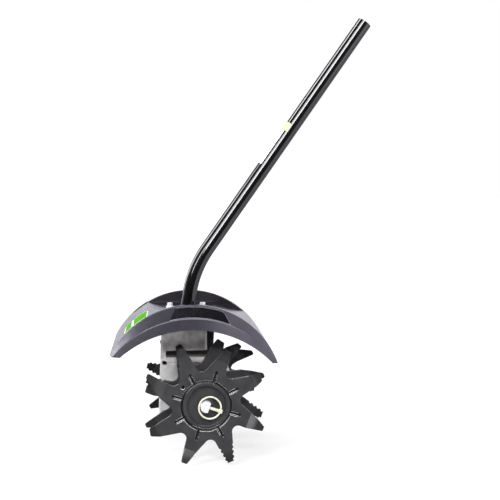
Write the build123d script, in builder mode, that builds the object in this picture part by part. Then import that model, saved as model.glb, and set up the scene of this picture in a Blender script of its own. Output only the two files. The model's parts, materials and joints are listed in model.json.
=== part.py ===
"""Mini cultivator, an attachment for a split-boom trimmer.

A bent steel tube carries a cast gearbox.  A worm in the gearbox turns a cross axle with four
spiked tines on it, two each side, and a moulded guard is bolted on top of the gearbox.

The model is built about the middle of the axle: X points back to the user, Y along the axle
and Z up.  Before export it is moved so that the origin lies under the middle of its box.
"""
import os
from math import atan2, cos, degrees, hypot, pi, radians, sin, sqrt, tan

from build123d import *

os.makedirs("parts", exist_ok=True)

# ---------------------------------------------------------------- driving dimensions (mm)
# Fits between pieces
fit_gap = 0.05          # radial play of a close fit
face_gap = 0.1          # play between faces that meet
loose_gap = 0.3         # play between pieces that move past each other

# Tube and drive cable
tube_od = 25.4
tube_wall = 1.5
tube_low_tilt = 10.6    # lean of the lower run, degrees from vertical
tube_high_tilt = 35.0   # lean of the upper run
tube_bend_radius = 190.0
low_run = 216.0         # worm's middle to the bend's corner
high_run = 530.0        # bend's corner to the open end
tube_foot = 76.0        # worm's middle to the tube's lower end
clamp_screw_drop = 19.0      # gearbox's top to the screw that holds the tube, along the tube
clamp_screw_d = 6.0
clamp_screw_socket = 3.0
clamp_screw_sink = 1.0
locating_hole_d = 8.0
locating_hole_depth = 14.0   # from the open end
liner_od = 14.0
liner_bore = 9.0
cable_d = 8.0

# Upper end of the drive cable
drive_square = 6.0
drive_square_length = 12.0
drive_chamfer = 0.8
drive_recess = 22.0     # open end to the tip of the square
drive_journal_d = 9.0
drive_collar_d = 12.0
drive_collar_length = 2.7
bushing_journal = 18.0  # length of the bushing's bearing bore
bushing_socket = 14.0   # length of the bushing's liner socket

# Worm gear
centre_distance = 56.0
gear_module = 2.5
wheel_teeth = 36
wheel_width = 16.0
pressure_angle = 20.0
backlash = 0.6
gear_root_clearance = 0.5
wheel_hub_d = 34.0
wheel_web = 6.0
wheel_rim = 5.0
worm_length = 44.0
worm_journal_d = 12.0
thread_turns = 4
thread_overlap = 0.8    # how far the thread's root lies inside the core
worm_socket_short = 4.0     # worm's socket for the cable, below the tube's foot
worm_socket_depth = 10.0
worm_bearing_od = 24.0
worm_bearing_width = 6.0

# Axle and its bearings
axle_core_d = 22.0
axle_end_d = 19.5
axle_flat = 5.3         # axis to the flat on the axle's ends, which faces along the pin
axle_chamfer = 1.0
axle_bearing_od = 42.0
axle_bearing_width = 12.0
bearing_start = 11.5    # middle plane to the bearing's inner face
seal_od = 35.0
seal_width = 7.0
seal_rim = 2.5
seal_lip = 2.0
key_width = 5.0
key_length = 16.0
bearing_shield_sink = 0.6
boss_overlap = 2.4      # how far the bearing boss stands past the seal

# Tines
tine_tip_radius = 106.0
tine_root_radius = 52.0     # where the straight sides of neighbouring teeth would meet
tine_root_fillet = 10.0
tine_teeth = 8
tine_lean = 9.5             # degrees the tips trail behind their roots
tine_tip_width = 13.0
# Four kinds of tooth, each twice around a tine: reach of the crease, bend out from the gearbox
# in degrees, reach and width of the tip before bending, how far the tip leads, how much of its
# trailing corner is cut off, and how far the leading edge bulges.
serrated = {"crease": None, "bend": 0, "tip": 106, "width": 13, "lead": 0, "cut": 0, "bulge": 0}
scooped = {"crease": 76, "bend": -33, "tip": 116, "width": 8, "lead": -8, "cut": 0, "bulge": 2}
hooked = {"crease": 90, "bend": -32, "tip": 109, "width": 14, "lead": 5, "cut": 5, "bulge": 0}
raked = {"crease": 80, "bend": 28, "tip": 104, "width": 10, "lead": 0, "cut": 0, "bulge": 0}
tooth_order = [serrated, scooped, hooked, raked] * 2
tooth_corner = 2.5
serration_d = 5.6
serration_pitch = 8.0
serration_count = 4
serration_bite = 0.8        # how much less than half of a serration cuts into the tooth
tine_hole_d = 7.0
tine_hole_reach = 51.0
tine_plate = 3.0
tine_inner_y = 50.0
tine_outer_y = 107.0
dish_radius = 35.0
dish_floor_radius = 31.0
dish_depth = 7.0
dish_wall_run = 0.6         # half the thickness of the dish's sloping wall, measured level
groove_depth = 1.5          # grooves pressed into the outer face, ridges on the inner one
groove_slope = 38.0         # degrees, of the groove's walls
groove_ring_radius = 41.5
groove_ring_width = 4.6
groove_arm_reach = 58.5     # axle to the middle of an arm's round end
groove_arm_width = 6.4
turn_outer_near = 113.0     # where a serrated tooth points, in degrees
turn_inner_near = 161.5
turn_inner_far = 92.0
turn_outer_far = 166.5
hub_od = 28.0
hub_overhang = 12.0         # inner tine to the outer end of its hub
felt_thickness = 2.6
felt_od = 34.0

# Lock pin and ring
lock_pin_d = 5.0
lock_pin_y = 113.0
lock_pin_tilt = -20.0
lock_ring_radius = 18.6
lock_wire_d = 2.8
lock_ring_offset = 6.5      # axle to the ring's centre, along the pin
lock_head_d = 7.0
lock_head_length = 6.2
ring_hole_play = 0.5        # room for the curve of the wire
axle_overhang = 6.0         # past the lock pin

# Gearbox
case_wall = 4.0
case_half_width = 28.0      # column and wheel housing
block_half_width = 33.0
block_back = 5.5            # axle to the block's back face
block_front = 75.0          # axle to the block's front face
block_bottom = 58.0
column_front = 80.5
column_back = 30.0
column_bottom = -40.0
column_top = 84.0
column_lean = 4.5           # how far the column's front leans back over its height
column_hole_d = 8.4
column_hole_inset = 9.3
column_hole_depth = 14.0
case_corner = 6.0
slot_height = 11.5
slot_bottom = 68.5
slot_depth = 14.0
slot_front = 67.0
case_screw_d = 5.0
case_screw_head_d = 8.5
case_screw_head = 5.0
case_screw_socket = 4.0
case_screw_inset = 11.0
case_edge_rounding = 2.5
screw_ear_radius = 8.0
screw_grip = 16.0           # parting plane to the underside of the head
screw_chamfer = 0.5
housing_screw_reach = 54.0
housing_screw_angles = (45.0, -45.0, -103.0)
oil_gap = 1.5               # room for oil round the turning pieces
plug_d = 8.0
plug_head_radius = 7.0
plug_head = 4.5

# Guard
guard_top_height = 150.0    # platform above the axle
guard_wall = 3.0
guard_side_share = 0.8      # of the wall, along the axle, kept under the sloping sides
guard_ridge_rounding = 5.0
guard_crease_rounding = 2.5
guard_reach_down = 40.0     # how far the inside is carried below the lower edge
guard_ridge_radius = 155.0
guard_ridge_apex = 170.5
guard_crease_radius = 171.0
guard_crease_apex = 150.0
guard_edge_radius = 184.0
guard_edge_apex = 131.0
guard_middle_x = -23.0
guard_ridge_y = 102.0
guard_crease_y = 118.0
guard_edge_y = 121.0
guard_front = 135.0         # middle to the front nose
guard_back = 143.0
guard_nose_front_z = 88.0   # lower edge above the axle, at the front nose
guard_nose_back_z = 72.5
guard_edge_lip = 1.5        # thickness of the wall where it ends
panel_front = 45.0          # middle to the front end of the panels sunk in the guard's sides
panel_back = 68.0
panel_slant = 21.0          # how much nearer the middle each end is at the ridge
panel_sink = 0.8
panel_margin = 1.4          # band left beside the ridge and the crease
pocket_front = 78.0         # middle to the pocket's front end
pocket_back = 106.0
pocket_half_width = 84.0
pocket_draft = 12.0         # how much wider the pocket is at the ridge
pocket_level = 46.0         # middle to where the floor starts down
pocket_fall = 19.0          # how far the floor has dropped at the back
tube_clearance = 1.5
guard_bolt_d = 6.0
guard_bolt_spread_x = 29.5
guard_bolt_spread_y = 20.0
guard_bolt_head_d = 10.0
guard_bolt_head = 6.0
guard_bolt_length = 16.0
guard_bolt_socket = 5.0
washer_d = 14.0
washer_thickness = 1.6

# ---------------------------------------------------------------- derived places
tooth_pitch = pi * gear_module
wheel_pitch_radius = gear_module * wheel_teeth / 2
worm_pitch_radius = centre_distance - wheel_pitch_radius
worm_lead_angle = degrees(atan2(tooth_pitch, 2 * pi * worm_pitch_radius))
gear_addendum = gear_module
gear_dedendum = gear_module + gear_root_clearance
worm_tip_radius = worm_pitch_radius + gear_addendum
worm_root_radius = worm_pitch_radius - gear_dedendum
wheel_tip_radius = wheel_pitch_radius + gear_addendum
wheel_root_radius = wheel_pitch_radius - gear_dedendum

low_axis = Vector(sin(radians(tube_low_tilt)), 0, cos(radians(tube_low_tilt)))
low_across = Vector(cos(radians(tube_low_tilt)), 0, -sin(radians(tube_low_tilt)))
high_axis = Vector(sin(radians(tube_high_tilt)), 0, cos(radians(tube_high_tilt)))
high_across = Vector(cos(radians(tube_high_tilt)), 0, -sin(radians(tube_high_tilt)))
worm_middle = low_across * -centre_distance
bend_corner = worm_middle + low_axis * low_run
tube_end = bend_corner + high_axis * high_run


def low_plane(distance):
    """Plane across the lower run, at a distance above the worm's middle."""
    return Plane(origin=worm_middle + low_axis * distance, x_dir=low_across, z_dir=low_axis)


def high_plane(depth):
    """Plane across the upper run, at a depth below the open end, facing out of the tube."""
    return Plane(origin=tube_end - high_axis * depth, x_dir=high_across, z_dir=high_axis)


def tube_centreline(start, stop_depth):
    """Centreline from a distance above the worm to a depth below the open end."""
    return FilletPolyline(
        worm_middle + low_axis * start,
        bend_corner,
        tube_end - high_axis * stop_depth,
        radius=tube_bend_radius,
    )


tube_bore_r = tube_od / 2 - tube_wall
bushing_start = drive_recess + drive_square_length
liner_top = bushing_start + bushing_journal + drive_collar_length + 2 * loose_gap + face_gap
case_top = guard_top_height - guard_wall
clamp_screw_height = (case_top - worm_middle.Z) / low_axis.Z - clamp_screw_drop

# ---------------------------------------------------------------- tube, liner and cable
with BuildPart() as shaft_tube:
    with BuildLine():
        tube_centreline(tube_foot, 0)
    with BuildSketch(low_plane(tube_foot)):
        Circle(tube_od / 2)
        Circle(tube_bore_r, mode=Mode.SUBTRACT)
    sweep()
    with BuildSketch(Plane(high_plane(locating_hole_depth).origin, z_dir=-high_across)):
        Circle(locating_hole_d / 2)
    extrude(amount=tube_od, mode=Mode.SUBTRACT)
    with BuildSketch(Plane(low_plane(clamp_screw_height).origin, z_dir=(0, -1, 0))):
        Circle(clamp_screw_d / 2 + fit_gap)
    extrude(amount=tube_od, mode=Mode.SUBTRACT)

with BuildPart() as shaft_liner:
    with BuildLine():
        tube_centreline(tube_foot + bushing_socket / 2, liner_top)
    with BuildSketch(low_plane(tube_foot + bushing_socket / 2)):
        Circle(liner_od / 2)
        Circle(liner_bore / 2, mode=Mode.SUBTRACT)
    sweep()

# The cable runs from the worm's socket to the collar of the drive end.
worm_socket_mouth = tube_foot - worm_socket_short
cable_start = worm_socket_mouth - worm_socket_depth
cable_top = bushing_start + bushing_journal + drive_collar_length + 2 * loose_gap
with BuildPart() as flex_cable:
    with BuildLine():
        tube_centreline(cable_start, cable_top)
    with BuildSketch(low_plane(cable_start)):
        Circle(cable_d / 2)
    sweep()


def liner_bushing(plane, journal_bore):
    """Bushing pressed in the tube: a journal bore, then a socket for the liner below it."""
    with BuildPart() as bushing:
        with BuildSketch(plane):
            Circle(tube_bore_r - fit_gap)
            Circle(journal_bore / 2, mode=Mode.SUBTRACT)
        extrude(amount=-bushing_journal)
        with BuildSketch(plane.offset(-bushing_journal)):
            Circle(tube_bore_r - fit_gap)
            Circle(liner_od / 2 + fit_gap, mode=Mode.SUBTRACT)
        extrude(amount=-bushing_socket)
    return bushing.part


with BuildPart() as top_bushing:
    add(liner_bushing(high_plane(bushing_start), drive_journal_d + 2 * fit_gap))

with BuildPart() as lower_bushing:
    # The foot of the tube, turned upside down so that its socket opens upwards.
    with BuildSketch(low_plane(tube_foot)):
        Circle(tube_bore_r - fit_gap)
        Circle(cable_d / 2 + loose_gap, mode=Mode.SUBTRACT)
    extrude(amount=bushing_socket / 2 - face_gap)
    with BuildSketch(low_plane(tube_foot + bushing_socket / 2 - face_gap)):
        Circle(tube_bore_r - fit_gap)
        Circle(liner_od / 2 + fit_gap, mode=Mode.SUBTRACT)
    extrude(amount=bushing_socket)

with BuildPart() as cable_drive_end:
    with BuildSketch(high_plane(drive_recess)):
        Rectangle(drive_square, drive_square)
    extrude(amount=-drive_square_length)
    chamfer(faces().sort_by(Axis(tube_end, high_axis))[-1].edges(), drive_chamfer)
    with BuildSketch(high_plane(bushing_start)):
        Circle(drive_journal_d / 2)
    extrude(amount=-(bushing_journal + loose_gap))
    with BuildSketch(high_plane(bushing_start + bushing_journal + loose_gap)):
        Circle(drive_collar_d / 2)
    extrude(amount=-drive_collar_length)

# ---------------------------------------------------------------- worm and wheel
half_tooth = (tooth_pitch / 2 - backlash) / 2 * cos(radians(worm_lead_angle))
flank_slope = tan(radians(pressure_angle))


def rack_tooth(root, pitch, tip):
    """Straight-sided tooth along local X, given its root, pitch and tip distances."""
    half_root = half_tooth + (pitch - root) * flank_slope
    half_tip = half_tooth - (tip - pitch) * flank_slope
    return Polyline((root, -half_root), (tip, -half_tip), (tip, half_tip), (root, half_root), close=True)


thread_foot = thread_turns * tooth_pitch / 2
worm_step = worm_length / 2
worm_bearing_seat = worm_step + loose_gap
worm_head_start = worm_bearing_seat + worm_bearing_width + loose_gap
with BuildPart() as worm_shaft:
    with BuildLine():
        thread_path = Helix(
            pitch=tooth_pitch,
            height=2 * thread_foot,
            radius=worm_root_radius,
            center=low_plane(-thread_foot).origin,
            direction=low_axis,
        )
    with BuildSketch(Plane(origin=thread_path @ 0, x_dir=low_across, z_dir=thread_path % 0)):
        with BuildLine():
            rack_tooth(-thread_overlap, worm_pitch_radius - worm_root_radius, gear_addendum + gear_dedendum)
        make_face()
    sweep(is_frenet=True)
    with BuildSketch(low_plane(-worm_step)):
        Circle(worm_root_radius)
    extrude(amount=worm_length)
    with BuildSketch(low_plane(-worm_bearing_seat - worm_bearing_width)):
        Circle(worm_journal_d / 2)
    extrude(amount=worm_head_start + worm_bearing_seat + worm_bearing_width)
    with BuildSketch(low_plane(worm_head_start)):
        Circle(worm_root_radius)
    extrude(amount=worm_socket_mouth - worm_head_start)
    with BuildSketch(low_plane(worm_socket_mouth)):
        Circle(cable_d / 2 + loose_gap)
    extrude(amount=cable_start - worm_socket_mouth - loose_gap, mode=Mode.SUBTRACT)

wheel_hub_half = bearing_start - face_gap
worm_direction = 180 - tube_low_tilt    # from the axle to the worm, seen from the near side
tooth_plane = Plane(
    origin=(0, 0, 0),
    x_dir=(1, 0, 0),
    z_dir=(0, -cos(radians(worm_lead_angle)), sin(radians(worm_lead_angle))),
)


def wheel_tooth():
    """One tooth of the wheel, leaning with the worm's thread and trimmed to the wheel's faces."""
    with BuildPart() as tooth:
        with BuildSketch(tooth_plane):
            with BuildLine():
                rack_tooth(wheel_root_radius - wheel_rim / 2, wheel_pitch_radius, wheel_tip_radius)
            make_face()
        extrude(amount=wheel_width, both=True)
        with BuildSketch(Plane.XZ):
            Circle(wheel_tip_radius)
        extrude(amount=wheel_width / 2, both=True, mode=Mode.INTERSECT)
    return tooth.part


first_tooth = wheel_tooth()
with BuildPart() as worm_wheel:
    with BuildSketch(Plane.XZ):
        Circle(wheel_root_radius)
    extrude(amount=wheel_width / 2, both=True)
    for side in (1, -1):
        with BuildSketch(Plane.XZ.offset(side * wheel_width / 2)):
            Circle(wheel_root_radius - wheel_rim)
        extrude(amount=-side * (wheel_width - wheel_web) / 2, mode=Mode.SUBTRACT)
    for tooth_index in range(wheel_teeth):
        turn = worm_direction + (tooth_index + 0.5) * 360 / wheel_teeth
        add(first_tooth.rotate(Axis.Y, -turn))
    with BuildSketch(Plane.XZ):
        Circle(wheel_hub_d / 2)
    extrude(amount=wheel_hub_half, both=True)
    with BuildSketch(Plane.XZ):
        Circle(axle_core_d / 2 + fit_gap)
        with Locations((0, axle_core_d / 2)):
            Rectangle(key_width + 2 * fit_gap, key_width + 2 * face_gap)
    extrude(amount=wheel_hub_half, both=True, mode=Mode.SUBTRACT)

# ---------------------------------------------------------------- axle, key, bearings, seals
seal_start = bearing_start + axle_bearing_width + face_gap
case_boss_y = seal_start + seal_width + boss_overlap
felt_start = case_boss_y + face_gap
hub_start = felt_start + felt_thickness + face_gap
axle_end_y = lock_pin_y + axle_overhang
pin_direction = Vector(cos(radians(lock_pin_tilt)), 0, sin(radians(lock_pin_tilt)))


def axle_section(play):
    """Round section with one flat, for the axle's ends and the hubs' bores."""
    radius = axle_end_d / 2 + play
    middle = pin_direction * (axle_flat + play - radius)
    with BuildSketch(Plane.XZ) as section:
        Circle(radius)
        with Locations((middle.X, middle.Z)):
            Rectangle(2 * radius, 2 * radius, rotation=lock_pin_tilt, mode=Mode.INTERSECT)
    return section.sketch


with BuildPart() as tine_axle:
    extrude(axle_section(0), amount=axle_end_y, both=True)
    chamfer(edges().group_by(Axis.Y)[0] + edges().group_by(Axis.Y)[-1], axle_chamfer)
    with BuildSketch(Plane.XZ):
        Circle(axle_core_d / 2)
    extrude(amount=case_boss_y, both=True)
    with BuildSketch(Plane.XZ):
        with Locations((0, axle_core_d / 2)):
            Rectangle(key_width, key_width)
    extrude(amount=key_length / 2, both=True, mode=Mode.SUBTRACT)
    for side in (1, -1):
        with BuildSketch(Plane(origin=(0, side * lock_pin_y, 0), z_dir=pin_direction)):
            Circle(lock_pin_d / 2 + fit_gap)
        extrude(amount=axle_end_d, both=True, mode=Mode.SUBTRACT)

with BuildPart() as wheel_key:
    with BuildSketch(Plane.XZ):
        with Locations((0, axle_core_d / 2)):
            Rectangle(key_width - 2 * fit_gap, key_width - 2 * fit_gap)
    extrude(amount=key_length / 2 - face_gap, both=True)


def bearing(plane, bore, outside, width):
    """Shielded ball bearing: two races with a sunken shield on each face."""
    race = (outside - bore) / 8
    with BuildPart() as made:
        with BuildSketch(plane):
            Circle(outside / 2 - fit_gap)
            Circle(bore / 2 + fit_gap, mode=Mode.SUBTRACT)
        extrude(amount=width)
        for face_height, direction in ((0, 1), (width, -1)):
            with BuildSketch(plane.offset(face_height)):
                Circle(outside / 2 - race)
                Circle(bore / 2 + race, mode=Mode.SUBTRACT)
            extrude(amount=direction * bearing_shield_sink, mode=Mode.SUBTRACT)
    return made.part


def side_plane(distance):
    """Plane across the axle, facing away from the gearbox; negative is the near side."""
    return Plane(origin=(0, distance, 0), x_dir=(1, 0, 0), z_dir=(0, 1 if distance > 0 else -1, 0))


def felt_ring(plane):
    """Felt washer between the gearbox and the inner hub."""
    with BuildPart() as made:
        with BuildSketch(plane):
            Circle(felt_od / 2)
            Circle(axle_end_d / 2 + loose_gap, mode=Mode.SUBTRACT)
        extrude(amount=felt_thickness)
    return made.part


with BuildPart() as worm_bearing_top:
    add(bearing(low_plane(worm_bearing_seat), worm_journal_d, worm_bearing_od, worm_bearing_width))
with BuildPart() as worm_bearing_bottom:
    lower_seat = low_plane(-worm_bearing_seat - worm_bearing_width)
    add(bearing(lower_seat, worm_journal_d, worm_bearing_od, worm_bearing_width))
with BuildPart() as axle_bearing_near:
    add(bearing(side_plane(-bearing_start), axle_core_d, axle_bearing_od, axle_bearing_width))
with BuildPart() as axle_bearing_far:
    add(bearing(side_plane(bearing_start), axle_core_d, axle_bearing_od, axle_bearing_width))


def axle_seal(plane):
    """Lip seal: a rubber ring with a waisted inner lip."""
    with BuildPart() as made:
        with BuildSketch(plane):
            Circle(seal_od / 2 - fit_gap)
            Circle(axle_core_d / 2 + fit_gap, mode=Mode.SUBTRACT)
        extrude(amount=seal_width)
        with BuildSketch(plane):
            Circle(seal_od / 2 - seal_rim)
            Circle(axle_core_d / 2 + seal_lip, mode=Mode.SUBTRACT)
        extrude(amount=seal_width - seal_lip, mode=Mode.SUBTRACT)
    return made.part


with BuildPart() as axle_seal_near:
    add(axle_seal(side_plane(-seal_start)))
with BuildPart() as axle_seal_far:
    add(axle_seal(side_plane(seal_start)))
with BuildPart() as felt_washer_near:
    add(felt_ring(side_plane(-felt_start)))
with BuildPart() as felt_washer_far:
    add(felt_ring(side_plane(felt_start)))


# ---------------------------------------------------------------- tines
def polar(radius, angle):
    """Point in the plane of a tine, with its angle in degrees."""
    return (radius * cos(radians(angle)), radius * sin(radians(angle)))


tooth_step = 360 / tine_teeth
root_left = polar(tine_root_radius, tooth_step / 2 + tine_lean)
root_right = polar(tine_root_radius, tine_lean - tooth_step / 2)


def edge_at(start, stop, reach):
    """Point at a reach from the axle on the straight edge between two corners of a tooth."""
    share = (reach - start[0]) / (stop[0] - start[0])
    return (reach, start[1] + share * (stop[1] - start[1]))


def tooth_corners(tooth):
    """Corners of a tooth before bending, X along it: trailing tip, leading tip and its bulge."""
    half = tooth["width"] / 2
    trailing = (tooth["tip"] - tooth["cut"], tooth["lead"] - half)
    leading = (tooth["tip"], tooth["lead"] + half)
    if not tooth["bulge"]:
        return [trailing, leading]
    middle = (tooth["crease"] + tooth["tip"]) / 2
    return [
        trailing,
        leading,
        (middle, edge_at(leading, root_left, middle)[1] + tooth["bulge"]),
        (tooth["crease"], edge_at(leading, root_left, tooth["crease"])[1] + tooth["bulge"]),
    ]


def groove_sketch(distance):
    """Outline of the pressed grooves at a distance out from the tine's middle plane."""
    with BuildSketch(Plane.XZ.offset(distance)) as grooves:
        Circle(groove_ring_radius + groove_ring_width / 2)
        Circle(groove_ring_radius - groove_ring_width / 2, mode=Mode.SUBTRACT)
        arm_length = groove_arm_reach - groove_ring_radius
        for number in range(tine_teeth):
            turn = number * tooth_step + tine_lean / 2
            with Locations(polar(groove_arm_reach - arm_length / 2, turn)):
                SlotCenterToCenter(arm_length, groove_arm_width, rotation=turn)
    return grooves.sketch


def make_tine(bend_sign):
    """Near-side tine in the middle plane: dished disc, eight teeth and pressed grooves.

    bend_sign is 1 for an outer tine and -1 for an inner one, whose teeth bend the other way.
    """
    half = tine_plate / 2
    outline = []
    for number, tooth in enumerate(tooth_order):
        for point in [*tooth_corners(tooth), root_left]:
            turn = number * tooth_step + degrees(atan2(point[1], point[0]))
            outline.append(polar(hypot(point[0], point[1]), turn))
    with BuildPart() as tine:
        with BuildSketch(Plane.XZ):
            with BuildLine():
                Polyline(*outline, close=True)
            make_face()
            roots = vertices().filter_by(lambda v: hypot(v.X, v.Y) < tine_root_radius + 1)
            fillet(roots, tine_root_fillet)
            Circle(dish_radius - 1, mode=Mode.SUBTRACT)
            for number, tooth in enumerate(tooth_order):
                with PolarLocations(0, 1, number * tooth_step):
                    if tooth["crease"]:
                        with Locations((tooth["crease"] + tine_tip_radius, 0)):
                            Rectangle(2 * tine_tip_radius, 4 * tine_tip_width, mode=Mode.SUBTRACT)
                    else:
                        trailing, leading = tooth_corners(tooth)
                        for notch in range(serration_count):
                            reach = tooth["tip"] - 2 - notch * serration_pitch
                            with Locations(
                                (reach, edge_at(leading, root_left, reach)[1] + serration_bite),
                                (reach, edge_at(trailing, root_right, reach)[1] - serration_bite),
                            ):
                                Circle(serration_d / 2, mode=Mode.SUBTRACT)
        extrude(amount=half, both=True)
        # The outer part of each bent tooth, turned about its crease, with a round bend between.
        for number, tooth in enumerate(tooth_order):
            if not tooth["crease"]:
                continue
            crease, bend = tooth["crease"], bend_sign * tooth["bend"]
            corners = tooth_corners(tooth)
            crease_right = edge_at(corners[0], root_right, crease)[1]
            crease_left = edge_at(corners[1], root_left, crease)[1] + tooth["bulge"]
            spoke_x, spoke_z = polar(1, number * tooth_step)
            spoke = Plane(origin=(0, 0, 0), x_dir=(spoke_x, 0, spoke_z), z_dir=(0, -1, 0))
            hinge = Plane(
                origin=spoke.from_local_coords((crease, 0, 0)),
                x_dir=spoke.x_dir * cos(radians(bend)) + spoke.z_dir * sin(radians(bend)),
                z_dir=spoke.z_dir * cos(radians(bend)) - spoke.x_dir * sin(radians(bend)),
            )
            beyond = [(x - crease, y) for x, y in corners if x > crease]
            with BuildSketch(hinge):
                with BuildLine():
                    Polyline((0, crease_right), *beyond, (0, crease_left), close=True)
                make_face()
                fillet(vertices().filter_by(lambda v: v.X > tooth["tip"] - crease - 6), tooth_corner)
            extrude(amount=half, both=True)
            crease_end = spoke.from_local_coords((crease, crease_right, 0))
            with BuildSketch(Plane(origin=crease_end, z_dir=spoke.y_dir)):
                Circle(half)
            extrude(amount=crease_left - crease_right)
        # Dished centre, sunk towards the gearbox.
        with BuildSketch(Plane.XY):
            with BuildLine():
                Polyline(
                    (dish_radius + 2, -half),
                    (dish_radius + 2, half),
                    (dish_radius - dish_wall_run, half),
                    (dish_floor_radius - dish_wall_run, dish_depth + half),
                    (hub_od / 2 + fit_gap, dish_depth + half),
                    (hub_od / 2 + fit_gap, dish_depth - half),
                    (dish_floor_radius + dish_wall_run, dish_depth - half),
                    (dish_radius + dish_wall_run, -half),
                    close=True,
                )
            make_face()
        revolve(axis=Axis.Y)
        # Pressed ring with an arm along the root of every tooth, and a hole between two arms.
        extrude(groove_sketch(-half), amount=-groove_depth, taper=groove_slope)
        extrude(groove_sketch(half), amount=-groove_depth, taper=groove_slope, mode=Mode.SUBTRACT)
        with BuildSketch(Plane.XZ):
            with Locations(polar(tine_hole_reach, tooth_step / 2 + tine_lean / 2)):
                Circle(tine_hole_d / 2)
        extrude(amount=tine_plate, both=True, mode=Mode.SUBTRACT)
    return tine.part


def set_tine(tine, distance, turn):
    """Put a tine at its place along the axle, turned counter-clockwise as seen from the near side."""
    return tine.rotate(Axis.Y, -turn).moved(Location((0, distance, 0)))


outer_tine = make_tine(1)
inner_tine = make_tine(-1)
with BuildPart() as tine_outer_near:
    add(set_tine(outer_tine, -tine_outer_y, turn_outer_near))
with BuildPart() as tine_inner_near:
    add(set_tine(inner_tine, -tine_inner_y, turn_inner_near))
with BuildPart() as tine_inner_far:
    add(set_tine(mirror(inner_tine, Plane.XZ, mode=Mode.PRIVATE), tine_inner_y, turn_inner_far))
with BuildPart() as tine_outer_far:
    add(set_tine(mirror(outer_tine, Plane.XZ, mode=Mode.PRIVATE), tine_outer_y, turn_outer_far))

# Hubs: sleeves welded in the tines' bores, end to end along the axle.
hub_end = lock_pin_y - lock_head_d / 2 - loose_gap
hub_joint = tine_inner_y + hub_overhang


def hub_sleeve(start, stop):
    """Sleeve with a flatted bore, from one distance along the axle to another, on the far side."""
    with BuildPart() as sleeve:
        with BuildSketch(Plane.XZ.offset(-start)):
            Circle(hub_od / 2)
            add(axle_section(fit_gap), mode=Mode.SUBTRACT)
        extrude(amount=start - stop)
    return sleeve.part


with BuildPart() as hub_inner_far:
    add(hub_sleeve(hub_start, hub_joint - face_gap / 2))
with BuildPart() as hub_outer_far:
    add(hub_sleeve(hub_joint + face_gap / 2, hub_end))
with BuildPart() as hub_inner_near:
    mirror(hub_inner_far.part, about=Plane.XZ)
with BuildPart() as hub_outer_near:
    mirror(hub_outer_far.part, about=Plane.XZ)

# ---------------------------------------------------------------- lock pins and rings
head_u = lock_ring_offset + lock_ring_radius
tip_u = lock_ring_offset - lock_ring_radius + lock_wire_d / 2 + loose_gap
ring_hole_d = lock_wire_d + 2 * (loose_gap + ring_hole_play)


def pin_plane(distance):
    """Plane of a lock pin: X along the pin, normal away from the gearbox."""
    return Plane(origin=(0, distance, 0), x_dir=pin_direction, z_dir=(0, 1 if distance > 0 else -1, 0))


def lock_pin(plane):
    """Pin through the axle's end, with a cross-drilled head that holds the ring."""
    with BuildPart() as pin:
        with BuildSketch(Plane(origin=plane.from_local_coords((head_u, 0, 0)), z_dir=plane.x_dir)):
            Circle(lock_pin_d / 2)
        extrude(amount=tip_u - head_u)
        with BuildSketch(Plane(origin=plane.from_local_coords((head_u, 0, 0)), z_dir=plane.x_dir)):
            Circle(lock_head_d / 2)
        extrude(amount=lock_head_length / 2, both=True)
        with BuildSketch(Plane(origin=plane.from_local_coords((head_u, 0, 0)), z_dir=plane.y_dir)):
            Circle(ring_hole_d / 2)
        extrude(amount=lock_head_d, both=True, mode=Mode.SUBTRACT)
    return pin.part


def lock_ring(plane):
    """Wire ring round the axle's end, hinged in the pin's head."""
    with BuildPart() as ring:
        Torus(lock_ring_radius, lock_wire_d / 2)
    return ring.part.moved(Location(plane)).moved(Location(plane.x_dir * lock_ring_offset))


with BuildPart() as lock_pin_near:
    add(lock_pin(pin_plane(-lock_pin_y)))
with BuildPart() as lock_pin_far:
    add(lock_pin(pin_plane(lock_pin_y)))
with BuildPart() as lock_ring_near:
    add(lock_ring(pin_plane(-lock_pin_y)))
with BuildPart() as lock_ring_far:
    add(lock_ring(pin_plane(lock_pin_y)))


# ---------------------------------------------------------------- gearbox
screw_places = [
    (-block_front + case_screw_inset, case_top - 2 * case_screw_inset),
    (block_back - case_screw_inset, case_top - 2 * case_screw_inset),
    (-column_front + case_screw_inset, slot_bottom - case_screw_inset),
]
screw_places += [polar(housing_screw_reach, angle) for angle in housing_screw_angles]
column_hole = (-column_front + column_hole_inset, column_bottom + column_hole_inset)
worm_cavity_r = worm_tip_radius + oil_gap
wheel_cavity_r = wheel_tip_radius + oil_gap
wheel_case_r = wheel_cavity_r + case_wall
case_cover_y = seal_start + seal_width
bolt_places = [
    (x, y)
    for x in (-guard_bolt_spread_x, guard_bolt_spread_x)
    for y in (-guard_bolt_spread_y, guard_bolt_spread_y)
]
tube_at_platform = worm_middle + low_axis * ((case_top - worm_middle.Z) / low_axis.Z)
bolt_bottom = guard_top_height + washer_thickness - guard_bolt_length
core_top = bolt_bottom - case_wall

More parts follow.
